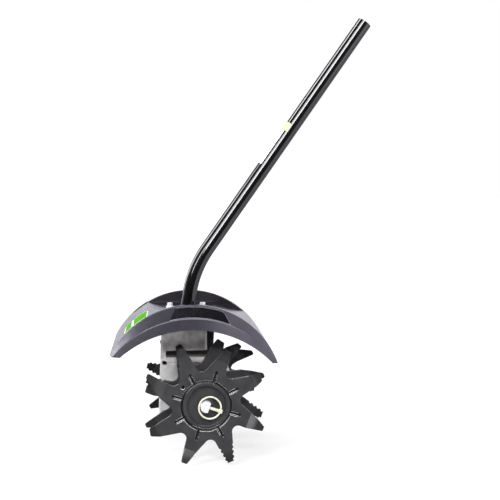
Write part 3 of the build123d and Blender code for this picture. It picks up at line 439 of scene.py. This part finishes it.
def bump(tree, shader, height, depth_mm, strength=1.0, under=None):
    """Raises the surface by up to depth_mm where height is 1, over an eased direction if there is one."""
    node = fill(add_node(tree, "ShaderNodeBump"), Strength=strength, Distance=depth_mm * MM)
    tree.links.new(height, node.inputs["Height"])
    if under is not None:
        tree.links.new(under, node.inputs["Normal"])
    tree.links.new(node.outputs[0], shader.inputs["Normal"])


def dress(material, *names):
    """Gives CAD nodes a finish."""
    for name in names:
        nodes[name].data.materials.clear()
        nodes[name].data.materials.append(material)
    print(material.name, "on", len(names))


# %% Helpers that find a region of a piece
def coordinates(tree, place):
    """The three coordinates of a place, in metres, as a list of sockets."""
    split = add_node(tree, "ShaderNodeSeparateXYZ")
    tree.links.new(place, split.inputs[0])
    return list(split.outputs)


def between(tree, value, low, high, soft=0.4 * MM):
    """1 where value lies between low and high, with soft ends."""
    rise = smooth_step(tree, value, low - soft, low + soft)
    fall = smooth_step(tree, value, high - soft, high + soft, 1.0, 0.0)
    return product(tree, rise, fall)


def colour_mix(tree, amount, first, second):
    """A colour that runs from first to second, each a socket or a plain colour."""
    node = add_node(tree, "ShaderNodeMix", data_type="RGBA")
    tree.links.new(amount, node.inputs[0])
    for socket, value in zip(node.inputs[6:8], (first, second)):
        if isinstance(value, tuple):
            socket.default_value = (*value, 1)
        else:
            tree.links.new(value, socket)
    return node.outputs[2]


def rounded(tree, radius_mm):
    """The surface's direction with its sharp edges eased over a small radius."""
    node = add_node(tree, "ShaderNodeBevel", samples=6)
    node.inputs["Radius"].default_value = radius_mm * MM
    return node.outputs["Normal"]


def leans_up(tree, eased):
    """How much more the eased surface looks up than the true one, so above 0 on the top of an edge."""
    true_normal = add_node(tree, "ShaderNodeNewGeometry").outputs["True Normal"]
    return math_node(tree, "SUBTRACT", along(tree, eased, UP), along(tree, true_normal, UP))


# %% [markdown]
# ### The tube
# The tube is steel under gloss stove enamel. Plain black with a low roughness would do, but real enamel has
# a faint orange peel that makes a long reflection tremble, so it gets a very shallow bump.

# %% Gloss black paint on the tube
tube_paint, tree, shader, place = new_finish("gloss_black_paint", (0.006, 0.006, 0.007), 0, 0.13)
orange_peel = speckle(tree, place, 2.2, 2.0)
roughness_between(tree, shader, speckle(tree, place, 30), 0.07, 0.11)
bump(tree, shader, orange_peel, 0.004, 0.3)
dress(tube_paint, "shaft_tube")

# %% [markdown]
# ### The guard
# The guard is one moulding of black plastic with spark-eroded grain. Its sides are painted pale towards the
# front and back where they face the light, and nearly black in the middle, as painted light and shade. The
# sunk panels are darker, and the pocket between the ridges and the hem beside it are painted darker still as
# painted shade. A grey line along the creases is a painted highlight. It could be cut into pieces with a
# material each, but it is one moulding, so one finish finds each region from its coordinates. The crown
# between the sides is the smoothest region. From behind and low down it mirrors the pale room as a white
# field, which can be taken for a hole: the wall is closed there.

# %% Where the regions of the guard lie
GUARD_OFFSET = 23 * MM
PANEL_FRONT = 45 * MM
PANEL_BACK = 68 * MM
PANEL_HEIGHT = 39.5 * MM
PANEL_SLANT = 21 * MM / PANEL_HEIGHT
PANEL_SIDES = (103.4 * MM, 116.6 * MM)
PANEL_EDGE = 0.6 * MM
CROWN_EDGE = (99 * MM, 102 * MM)
POCKET_FRONT = 78 * MM
POCKET_BACK = 106 * MM
HEM_START = 74 * MM
HEM_TOE = (30 * MM, 42 * MM)

guard_middle = axle_middle.x - GUARD_OFFSET
panel_start = guard_middle - PANEL_FRONT
panel_end = guard_middle + PANEL_BACK
pocket_start = guard_middle - POCKET_FRONT
guard_plastic, tree, shader, place = new_finish("moulded_black_plastic", (0.055, 0.052, 0.062), 0, 0.36)
fill(shader, Specular_Tint=(0.84, 0.80, 1.0, 1))
x, y, z = coordinates(tree, place)
width = math_node(tree, "ABSOLUTE", y)
panel_rise = math_node(tree, "SUBTRACT", z, guard_high.z - PANEL_HEIGHT)
slant = math_node(tree, "MULTIPLY", panel_rise, PANEL_SLANT)
panel = product(
    tree,
    between(tree, width, *PANEL_SIDES),
    smooth_step(tree, math_node(tree, "SUBTRACT", x, slant), panel_start, panel_start + PANEL_EDGE),
    smooth_step(tree, math_node(tree, "ADD", x, slant), panel_end - PANEL_EDGE, panel_end, 1.0, 0.0),
)
crown = smooth_step(tree, width, *CROWN_EDGE, 1.0, 0.0)
pocket = product(tree, crown, between(tree, x, pocket_start, guard_middle + POCKET_BACK))
hem = product(
    tree,
    smooth_step(tree, y, HEM_START, HEM_START + 2 * MM),
    smooth_step(tree, x, pocket_start, pocket_start + MM, 1.0, 0.0),
    smooth_step(tree, x, *(guard_low.x + edge for edge in HEM_TOE)),
)
print("guard middle", round(guard_middle, 4))

# %% The painted highlight along the creases
CREASE_LEAN = (0.03, 0.12)
CREASE_ENDS = (70 * MM, 105 * MM)
CREASE_SIDES = (100 * MM, 102 * MM)

eased = rounded(tree, 1.6)
off_middle = math_node(tree, "ABSOLUTE", math_node(tree, "SUBTRACT", x, guard_middle))
# A grey line is painted where the eased edge looks up, as a painted highlight along the creases.
crease_highlight = product(
    tree,
    smooth_step(tree, leans_up(tree, eased), *CREASE_LEAN),
    smooth_step(tree, off_middle, *CREASE_ENDS, 1.0, 0.0),
    smooth_step(tree, width, *CREASE_SIDES),
)
print("crease from", CREASE_SIDES[0], "m out")

# %% Colours of the guard
PAINTED_LIT_STOPS = [(0.3, (0.056, 0.052, 0.066)), (0.7, (0.074, 0.070, 0.086))]
PAINTED_SHADE_STOPS = [(0.3, (0.006, 0.0055, 0.007)), (0.7, (0.010, 0.009, 0.011))]
FRONT_PAINTED_LIGHT = (-115 * MM, -10 * MM, 0.45, 0.0)
BACK_PAINTED_LIGHT_END = 85 * MM
CROWN_BLACK = (0.020, 0.019, 0.023)
# The pocket between the ridges is painted near black as painted shade.
POCKET_SHADE = (0.019, 0.017, 0.022)
# The hem beside the pocket is painted black as painted shade.
HEM_SHADE = (0.004, 0.004, 0.005)
CREASE_HIGHLIGHT_GREY = (0.24, 0.23, 0.28)
PANEL_BLACK = (0.006, 0.0055, 0.007)

# The sides are painted pale towards the front and back and nearly black in the middle: painted light and
# shade.
flow = speckle(tree, place, 40, 4.0)
pale = ramp(tree, flow, PAINTED_LIT_STOPS)
dark = ramp(tree, flow, PAINTED_SHADE_STOPS)
lit_from, lit_to, lit_start, lit_end = FRONT_PAINTED_LIGHT
front_painted_light = smooth_step(tree, x, guard_middle + lit_from, guard_middle + lit_to, lit_start, lit_end)
back_painted_light = smooth_step(tree, x, guard_middle, guard_middle + BACK_PAINTED_LIGHT_END)
base = colour_mix(tree, math_node(tree, "MAXIMUM", front_painted_light, back_painted_light), dark, pale)
regions = (
    (crown, CROWN_BLACK),
    (pocket, POCKET_SHADE),
    (hem, HEM_SHADE),
    (crease_highlight, CREASE_HIGHLIGHT_GREY),
    (panel, PANEL_BLACK),
)
for region, colour in regions:
    base = colour_mix(tree, region, base, colour)
tree.links.new(base, shader.inputs["Base Color"])
print("regions", len(regions))

# %% Gloss and grain of the guard
SIDE_ROUGH = 0.38
CROWN_ROUGH = 0.16
PANEL_ROUGH = 0.24
HEM_ROUGH = 0.9
CROWN_GRAIN = 0.15

gloss = mix_values(tree, crown, SIDE_ROUGH, CROWN_ROUGH)
gloss = mix_values(tree, panel, gloss, PANEL_ROUGH)
gloss = mix_values(tree, hem, gloss, HEM_ROUGH)
wander = smooth_step(tree, speckle(tree, place, 9), 0.3, 0.7, -0.04, 0.04)
tree.links.new(math_node(tree, "ADD", gloss, wander), shader.inputs["Roughness"])
spark_grain = speckle(tree, place, 0.5, 2.0)
grain_height = product(tree, spark_grain, mix_values(tree, crown, 1.0, CROWN_GRAIN))
bump(tree, shader, grain_height, 0.04, 0.5, under=eased)
dress(guard_plastic, "guard")

# %% [markdown]
# ### The gearbox
# The two halves are bare die castings, tumbled to a satin skin. Below the slot they are painted lighter and
# above it darker, as painted light and shade, and the slot itself is painted near black as painted shade. Fine
# noise for the skin and one mask for the slot say that with little work.

# %% Bare cast aluminium of the gearbox
SLOT_BOTTOM = axle_middle.z + 68.5 * MM
SLOT_HEIGHT = 11.5 * MM
SLOT_FRONT = axle_middle.x - 67 * MM
SLOT_EDGE = 0.5 * MM
SLOT_SIDES = (32.2 * MM, 32.8 * MM)
LIT_BLEND = 6 * MM
SHADED_CAST_STOPS = [(0.34, (0.44, 0.42, 0.41)), (0.50, (0.60, 0.58, 0.57)), (0.66, (0.74, 0.72, 0.71))]
LIT_CAST_STOPS = [(0.34, (0.80, 0.78, 0.77)), (0.50, (0.92, 0.91, 0.91)), (0.66, (0.97, 0.96, 0.96))]
SLOT_SHADE = (0.045, 0.034, 0.028)

cast_aluminium, tree, shader, place = new_finish("bare_cast_aluminium", (0.7, 0.68, 0.66), 0.30, 0.48)
stain = speckle(tree, place, 14, 6.0)
x, y, z = coordinates(tree, place)
# Lighter below the slot and darker above it: painted light and shade.
lit_below_slot = smooth_step(tree, z, SLOT_BOTTOM - LIT_BLEND, SLOT_BOTTOM, 1.0, 0.0)
skin = colour_mix(tree, lit_below_slot, ramp(tree, stain, SHADED_CAST_STOPS), ramp(tree, stain, LIT_CAST_STOPS))
# The slot is painted near black as painted shade.
slot = product(
    tree,
    between(tree, z, SLOT_BOTTOM, SLOT_BOTTOM + SLOT_HEIGHT),
    smooth_step(tree, x, SLOT_FRONT - SLOT_EDGE, SLOT_FRONT),
    smooth_step(tree, math_node(tree, "ABSOLUTE", y), *SLOT_SIDES, 1.0, 0.0),
)
tree.links.new(colour_mix(tree, slot, skin, SLOT_SHADE), shader.inputs["Base Color"])
roughness_between(tree, shader, speckle(tree, place, 5), 0.36, 0.56)
bump(tree, shader, speckle(tree, place, 1.3, 4.0), 0.12, 0.6)
dress(cast_aluminium, "gearbox_near_half", "gearbox_far_half")

# %% [markdown]
# ### The tines
# The tines are stamped steel, dipped in satin enamel that is a clear coat over the colour here. The pressed
# grooves are painted near black as painted shade, the upper edges of their slots and the lower rim of the dish
# get painted highlights in near white, and the tips are painted darker as painted shade and made dull, so the
# coat ends before them. All of it depends on how far out a place lies from the axle.

# %% Where the tines get painted shade, painted highlights and dull tips
TINE_PLATES = (50 * MM, 107 * MM)
GROOVE_REACH = (38 * MM, 62 * MM)
GROOVE_DEPTH = (-0.2 * MM, 1.1 * MM)
GROOVE_SOFT = 0.25 * MM
GLINT_SLOT_REACH = (43 * MM, 57 * MM)
RIM_GLINT_REACH = (36.5 * MM, 41 * MM)
RIM_GLINT_HEIGHT = (-35 * MM, -31 * MM)
GLINT_LEAN = (0.08, 0.22)
TIP_REACH = (84 * MM, 97 * MM)

tine_paint, tree, shader, place = new_finish("satin_black_enamel", (0.024, 0.024, 0.026), 0, 0.30)
x, y, z = coordinates(tree, place)
flat = add_node(tree, "ShaderNodeCombineXYZ")
tree.links.new(math_node(tree, "SUBTRACT", x, axle_middle.x), flat.inputs[0])
tree.links.new(math_node(tree, "SUBTRACT", z, axle_middle.z), flat.inputs[1])
length = add_node(tree, "ShaderNodeVectorMath", operation="LENGTH")
tree.links.new(flat.outputs[0], length.inputs[0])
reach = length.outputs["Value"]
out = math_node(tree, "ABSOLUTE", y)
shallow, deep = GROOVE_DEPTH
sunk = [between(tree, out, at + shallow, at + deep, GROOVE_SOFT) for at in TINE_PLATES]
# The grooves are painted near black as painted shade.
groove_shade = product(tree, between(tree, reach, *GROOVE_REACH), math_node(tree, "ADD", *sunk))
eased = rounded(tree, 1.6)
# Near white is painted on the upper edges of the groove arms and on the lower rim of the dish: painted
# highlights.
low_rim = smooth_step(tree, z, *(axle_middle.z + edge for edge in RIM_GLINT_HEIGHT), 1.0, 0.0)
rim_glint = product(tree, between(tree, reach, *RIM_GLINT_REACH), low_rim)
glint_places = math_node(tree, "MAXIMUM", between(tree, reach, *GLINT_SLOT_REACH), rim_glint)
painted_glint = product(tree, glint_places, smooth_step(tree, leans_up(tree, eased), *GLINT_LEAN))
# The tips are painted darker as painted shade, and made rough without the coat.
tip = smooth_step(tree, reach, *TIP_REACH)
print("grooves from", GROOVE_REACH[0], "to", GROOVE_REACH[1], "m out")

# %% Satin black enamel of the tines
ENAMEL_STOPS = [(0.3, (0.026, 0.025, 0.028)), (0.7, (0.044, 0.042, 0.047))]
GROOVE_SHADE = (0.001, 0.001, 0.001)
TIP_SHADE = (0.010, 0.010, 0.011)
GLINT_WHITE = (0.92, 0.92, 0.93)
TIP_ROUGH = 0.75

base = ramp(tree, speckle(tree, place, 22, 5.0), ENAMEL_STOPS)
# Painted shade in the grooves and on the tips, and painted highlights on the upper edges.
for region, colour in ((groove_shade, GROOVE_SHADE), (tip, TIP_SHADE), (painted_glint, GLINT_WHITE)):
    base = colour_mix(tree, region, base, colour)
tree.links.new(base, shader.inputs["Base Color"])
wander = smooth_step(tree, speckle(tree, place, 6), 0.3, 0.7, 0.34, 0.42)
tree.links.new(mix_values(tree, tip, wander, TIP_ROUGH), shader.inputs["Roughness"])
bump(tree, shader, speckle(tree, place, 0.9, 3.0), 0.02, 0.5, under=eased)
tree.links.new(math_node(tree, "SUBTRACT", 1.0, tip), shader.inputs["Coat Weight"])
fill(shader, Coat_Roughness=0.10)
tree.links.new(eased, shader.inputs["Coat Normal"])
dress(tine_paint, "tine_inner_near", "tine_inner_far", "tine_outer_near", "tine_outer_far")
dress(tine_paint, "hub_inner_near", "hub_inner_far", "hub_outer_near", "hub_outer_far")

# %% [markdown]
# ### The small metal
# Axle, bolts and washers are bright zinc, and the lock pins and rings have the yellow kind, which is patchy
# and a little green. The screws of the gearbox sit in deep holes, so their colour is darkened as painted shade
# wherever something close by shades them.

# %% Bright zinc of the axle, bolts and washers
bright_zinc, tree, shader, place = new_finish("bright_zinc_plate", (0.86, 0.86, 0.88), 0.3, 0.30)
roughness_between(tree, shader, speckle(tree, place, 3), 0.20, 0.36)
bump(tree, shader, speckle(tree, place, 0.6, 2.0, (1, 9, 1)), 0.015, 0.4)
dress(bright_zinc, "tine_axle", "tube_clamp_screw", "grease_plug", "guard_bolts", "guard_washers")

# %% The same zinc, with painted shade, on the screws sunk in the gearbox
SHADE_REACH = 8 * MM
SHADE_RANGE = (0.35, 0.80)
DULL_STOPS = [(0.3, (0.46, 0.45, 0.44)), (0.7, (0.66, 0.66, 0.66))]
SCREW_SHADE = (0.02, 0.018, 0.016)

zinc_painted_shade, tree, shader, place = new_finish("zinc_plate_painted_shade", (0.60, 0.60, 0.61), 0.6, 0.34)
# Colour is darkened where something close by shades the screw: painted shade.
openness = fill(add_node(tree, "ShaderNodeAmbientOcclusion", samples=12), Distance=SHADE_REACH)
shaded = smooth_step(tree, openness.outputs["AO"], *SHADE_RANGE, 1.0, 0.0)
dull = ramp(tree, speckle(tree, place, 2.5), DULL_STOPS)
tree.links.new(colour_mix(tree, shaded, dull, SCREW_SHADE), shader.inputs["Base Color"])
roughness_between(tree, shader, speckle(tree, place, 3), 0.26, 0.42)
dress(zinc_painted_shade, "gearbox_screws")

# %% Yellow zinc of the lock pins and rings
YELLOW_STOPS = [(0.3, (0.86, 0.80, 0.56)), (0.5, (0.92, 0.89, 0.74)), (0.7, (0.80, 0.78, 0.62))]

yellow_zinc, tree, shader, place = new_finish("yellow_zinc_plate", (0.88, 0.84, 0.66), 0.3, 0.26)
colour_between(tree, shader, speckle(tree, place, 7, 3.0), YELLOW_STOPS)
roughness_between(tree, shader, speckle(tree, place, 2), 0.18, 0.32)
dress(yellow_zinc, "lock_pin_near", "lock_pin_far", "lock_ring_near", "lock_ring_far")

# %% [markdown]
# ### The inside
# Most of the drive is hidden, but the cable's end shows in the open tube and the rest shows when the part is
# taken apart. Ground steel is brushed along its length, the wheel is cast bronze, and the cable is wound wire,
# which bands across a smooth rod stand for.

# %% The drive parts inside
ground_steel, tree, shader, place = new_finish("ground_steel", (0.55, 0.55, 0.56), 1.0, 0.3)
roughness_between(tree, shader, speckle(tree, place, 1.5, 3.0, (1, 1, 6)), 0.22, 0.4)
bump(tree, shader, speckle(tree, place, 0.5, 2.0, (8, 1, 1)), 0.01, 0.5)
dress(ground_steel, "worm_shaft", "cable_drive_end", "wheel_key", "axle_bearing_near", "axle_bearing_far")
dress(ground_steel, "worm_bearing_top", "worm_bearing_bottom")

gear_bronze, tree, shader, place = new_finish("cast_gear_bronze", (0.62, 0.40, 0.20), 1.0, 0.34)
colour_between(tree, shader, speckle(tree, place, 10), [(0.3, (0.56, 0.35, 0.17)), (0.7, (0.68, 0.46, 0.24))])
bump(tree, shader, speckle(tree, place, 0.8), 0.02, 0.5)
dress(gear_bronze, "worm_wheel")

cable_steel, tree, shader, place = new_finish("wound_cable_steel", (0.42, 0.42, 0.43), 1.0, 0.4)
wires = add_node(tree, "ShaderNodeTexWave", wave_type="BANDS", bands_direction="Z")
fill(wires, Scale=160.0, Distortion=0.0)
tree.links.new(place, wires.inputs["Vector"])
bump(tree, shader, wires.outputs["Fac"], 0.3, 0.8)
dress(cable_steel, "flex_cable")

# %% Nylon, liner, rubber and felt
cream_nylon, tree, shader, place = new_finish("cream_nylon", (0.62, 0.58, 0.48), 0, 0.45)
colour_between(tree, shader, speckle(tree, place, 8), [(0.3, (0.58, 0.54, 0.44)), (0.7, (0.66, 0.62, 0.52))])
bump(tree, shader, speckle(tree, place, 0.6), 0.02, 0.4)
dress(cream_nylon, "top_bushing", "lower_bushing")

liner_plastic, tree, shader, place = new_finish("black_liner_plastic", (0.02, 0.02, 0.02), 0, 0.5)
roughness_between(tree, shader, speckle(tree, place, 5), 0.42, 0.58)
bump(tree, shader, speckle(tree, place, 0.8, 2.0, (1, 1, 0.1)), 0.03, 0.5)
dress(liner_plastic, "shaft_liner")

seal_rubber, tree, shader, place = new_finish("seal_rubber", (0.015, 0.015, 0.015), 0, 0.6)
roughness_between(tree, shader, speckle(tree, place, 3), 0.5, 0.7)
bump(tree, shader, speckle(tree, place, 0.5), 0.03, 0.5)
dress(seal_rubber, "axle_seal_near", "axle_seal_far")

grey_felt, tree, shader, place = new_finish("grey_felt", (0.14, 0.135, 0.13), 0, 0.95)
fibres = speckle(tree, place, 0.35, 6.0, (1, 3, 1))
colour_between(tree, shader, fibres, [(0.3, (0.08, 0.078, 0.075)), (0.7, (0.22, 0.21, 0.20))])
bump(tree, shader, fibres, 0.3, 0.9)
dress(grey_felt, "felt_washer_near", "felt_washer_far")
print("finishes", len(bpy.data.materials))

# %% [markdown]
# ## Labels
# Two thin vinyl labels are stuck on the tool: a bare white one with a pale yellow one above it on the tube,
# and a green one with a white rim on the front of the guard. A label could be painted into the finish under
# it, but a real one has a thickness and its own gloss, so each is a sheet cut to its outline, laid on the
# surface below and made a fraction of a millimetre thick.


# %% Helpers for sheets
def begin_edit(piece):
    """Makes piece the only selected object and opens it with everything selected."""
    bpy.ops.object.select_all(action="DESELECT")
    piece.select_set(True)
    bpy.context.view_layer.objects.active = piece
    bpy.ops.object.mode_set(mode="EDIT")
    bpy.ops.mesh.select_all(action="SELECT")


def end_edit():
    bpy.ops.object.mode_set(mode="OBJECT")


def cut_away(place, normal, clear=True):
    """Slices the whole sheet with a plane, and clears what lies on the normal's side."""
    bpy.ops.mesh.select_all(action="SELECT")
    bpy.ops.mesh.bisect(plane_co=place, plane_no=normal, clear_outer=clear)


def pick_corners(piece, test):
    """Selects the vertices of piece that pass a test, and counts them."""
    bpy.ops.mesh.select_mode(type="VERT")
    bpy.ops.mesh.select_all(action="DESELECT")
    mesh = bmesh.from_edit_mesh(piece.data)
    for corner in mesh.verts:
        corner.select_set(test(corner))
    mesh.select_flush_mode()
    bmesh.update_edit_mesh(piece.data)
    return sum(corner.select for corner in mesh.verts)


def apply_all(piece):
    """Applies every modifier of piece in turn."""
    bpy.context.view_layer.objects.active = piece
    for modifier in list(piece.modifiers):
        bpy.ops.object.modifier_apply(modifier=modifier.name)


def thicken(piece, thickness_mm):
    """Gives a sheet a thickness, outwards from the surface that it lies on."""
    sheet = piece.modifiers.new("thickness", "SOLIDIFY")
    sheet.thickness = thickness_mm * MM
    sheet.offset = 1
    apply_all(piece)


def stick(piece, body, slot_name, *materials):
    """Finishes a new piece: its materials and its body; slot_name is not used."""
    for material in materials:
        piece.data.materials.append(material)
    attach(piece, body)
    print(piece.name, len(piece.data.polygons), "faces")


# %% Vinyl
def vinyl(name, colour, smudged, gloss=0.2):
    """Label vinyl: satin, with faint smudges."""
    material, tree, shader, place = new_finish(name, colour, 0, 0.45)
    fill(shader, Specular_IOR_Level=gloss)
    colour_between(tree, shader, speckle(tree, place, 9, 5.0), [(0.35, smudged), (0.6, colour)])
    roughness_between(tree, shader, speckle(tree, place, 4), 0.38, 0.52)
    bump(tree, shader, speckle(tree, place, 1.2), 0.01, 0.4)
    return material


white_vinyl = vinyl("white_vinyl", (0.86, 0.86, 0.86), (0.78, 0.78, 0.78))
yellow_vinyl = vinyl("pale_yellow_vinyl", (0.72, 0.71, 0.36), (0.66, 0.65, 0.30))
green_vinyl = vinyl("green_vinyl", (0.10, 0.37, 0.022), (0.08, 0.31, 0.016), gloss=0.0)
print("vinyl", white_vinyl.name, yellow_vinyl.name, green_vinyl.name)

# %% Where the tube's upper run lies
tube_mount = next(m for m in frame["record"]["mounts"] if m["name"] == "tube_top")
tube_axis = Vector(tube_mount["axis"]).normalized()
tube_radius = tube_mount["dims"]["r_mm"] * MM
tube_mouth = Vector(tube_mount["pos_m"]) + tube_axis * tube_mount["dims"]["length_mm"] * MM / 2
tube_under = Vector((tube_axis.z, 0, -tube_axis.x))
print("tube mouth at", [round(v, 4) for v in tube_mouth])

# %% Labels on the tube
TUBE_LABEL_LIFT = 0.02 * MM
TUBE_LABEL_THICK_MM = 0.12
TUBE_LABEL_CORNER = 2.2 * MM
CORNER_SLACK = 0.01 * MM


def tube_label(name, near_mm, far_mm, side, material):
    """A label wrapped over the tube's upper side, between two depths below the open end.

    side is how far round it comes: 0 for half of the tube, -0.5 for a third.
    """
    length = (far_mm - near_mm) * MM
    centre = tube_mouth - tube_axis * (near_mm + far_mm) / 2 * MM
    bpy.ops.object.select_all(action="DESELECT")
    bpy.ops.mesh.primitive_cylinder_add(
        vertices=96,
        radius=tube_radius + TUBE_LABEL_LIFT,
        depth=length,
        end_fill_type="NOTHING",
        location=centre,
        rotation=(0, math.atan2(tube_axis.x, tube_axis.z), 0),
    )
    label = bpy.context.object
    label.name = name
    bpy.ops.object.transform_apply(location=True, rotation=True, scale=True)
    begin_edit(label)
    cut_away(centre + tube_under * side * tube_radius, tube_under)
    edge = tube_under.dot(centre) + side * tube_radius - CORNER_SLACK
    ends = length / 2 - CORNER_SLACK
    picked = pick_corners(
        label,
        lambda v: tube_under.dot(v.co) > edge and abs((v.co - centre).dot(tube_axis)) > ends,
    )
    bpy.ops.mesh.bevel(affect="VERTICES", offset=TUBE_LABEL_CORNER, segments=5)
    end_edit()
    thicken(label, TUBE_LABEL_THICK_MM)
    bpy.ops.object.shade_smooth_by_angle(angle=math.radians(40))
    stick(label, "frame", "tube_black", material)
    print("corners", picked)


tube_label("tube_label_white", near_mm=238.5, far_mm=311.0, side=-0.66, material=white_vinyl)
tube_label("tube_label_yellow", near_mm=223.0, far_mm=238.0, side=-0.36, material=yellow_vinyl)

# %% [markdown]
# The label on the guard starts as a flat plane above it. It is cut into two fields, each with a rim, sliced
# so that it can follow the curve, and dropped straight down on the guard.

# %% Outline and fields of the guard's label
LABEL_CORNER = 6 * MM
LABEL_RIM = 1.8 * MM
LABEL_HEIGHT = 10 * MM
SPLIT_TILT = (1, 0.02, 0)

label_front = guard_low.x + 23.5 * MM
label_back = guard_low.x + 63 * MM
label_near = guard_low.y + 26 * MM
label_far = guard_low.y + 96 * MM
label_split = label_front + 12.5 * MM
label_middle = ((label_front + label_back) / 2, (label_near + label_far) / 2, guard_high.z + LABEL_HEIGHT)
bpy.ops.object.select_all(action="DESELECT")
bpy.ops.mesh.primitive_plane_add(size=1, location=label_middle)
guard_label = bpy.context.object
guard_label.name = "guard_label"
guard_label.scale = (label_back - label_front, label_far - label_near, 1)
bpy.ops.object.transform_apply(location=True, rotation=True, scale=True)
begin_edit(guard_label)
bpy.ops.mesh.bevel(affect="VERTICES", offset=LABEL_CORNER, segments=6)
cut_away((label_split, 0, 0), SPLIT_TILT, clear=False)
bpy.ops.mesh.select_mode(type="FACE")
bpy.ops.mesh.select_all(action="SELECT")
bpy.ops.mesh.inset(thickness=LABEL_RIM, use_individual=True)
end_edit()
fields = [face.index for face in guard_label.data.polygons if face.select]
for face in guard_label.data.polygons:
    face.material_index = 1 if face.index in fields else 0
print("fields", len(fields))

# %% Lay the label on the guard
SLICES = 16
GUARD_LABEL_LIFT = 0.03 * MM
GUARD_LABEL_THICK_MM = 0.15

begin_edit(guard_label)
for step in range(1, SLICES):
    cut_away((label_front + (label_back - label_front) * step / SLICES, 0, 0), (1, 0, 0), clear=False)
end_edit()
lay = guard_label.modifiers.new("lay", "SHRINKWRAP")
lay.target = nodes["guard"]
lay.wrap_method = "PROJECT"
lay.use_project_z = True
lay.use_positive_direction = False
lay.use_negative_direction = True
lay.offset = GUARD_LABEL_LIFT
apply_all(guard_label)
thicken(guard_label, GUARD_LABEL_THICK_MM)
stick(guard_label, "frame", "guard_plastic", white_vinyl, green_vinyl)
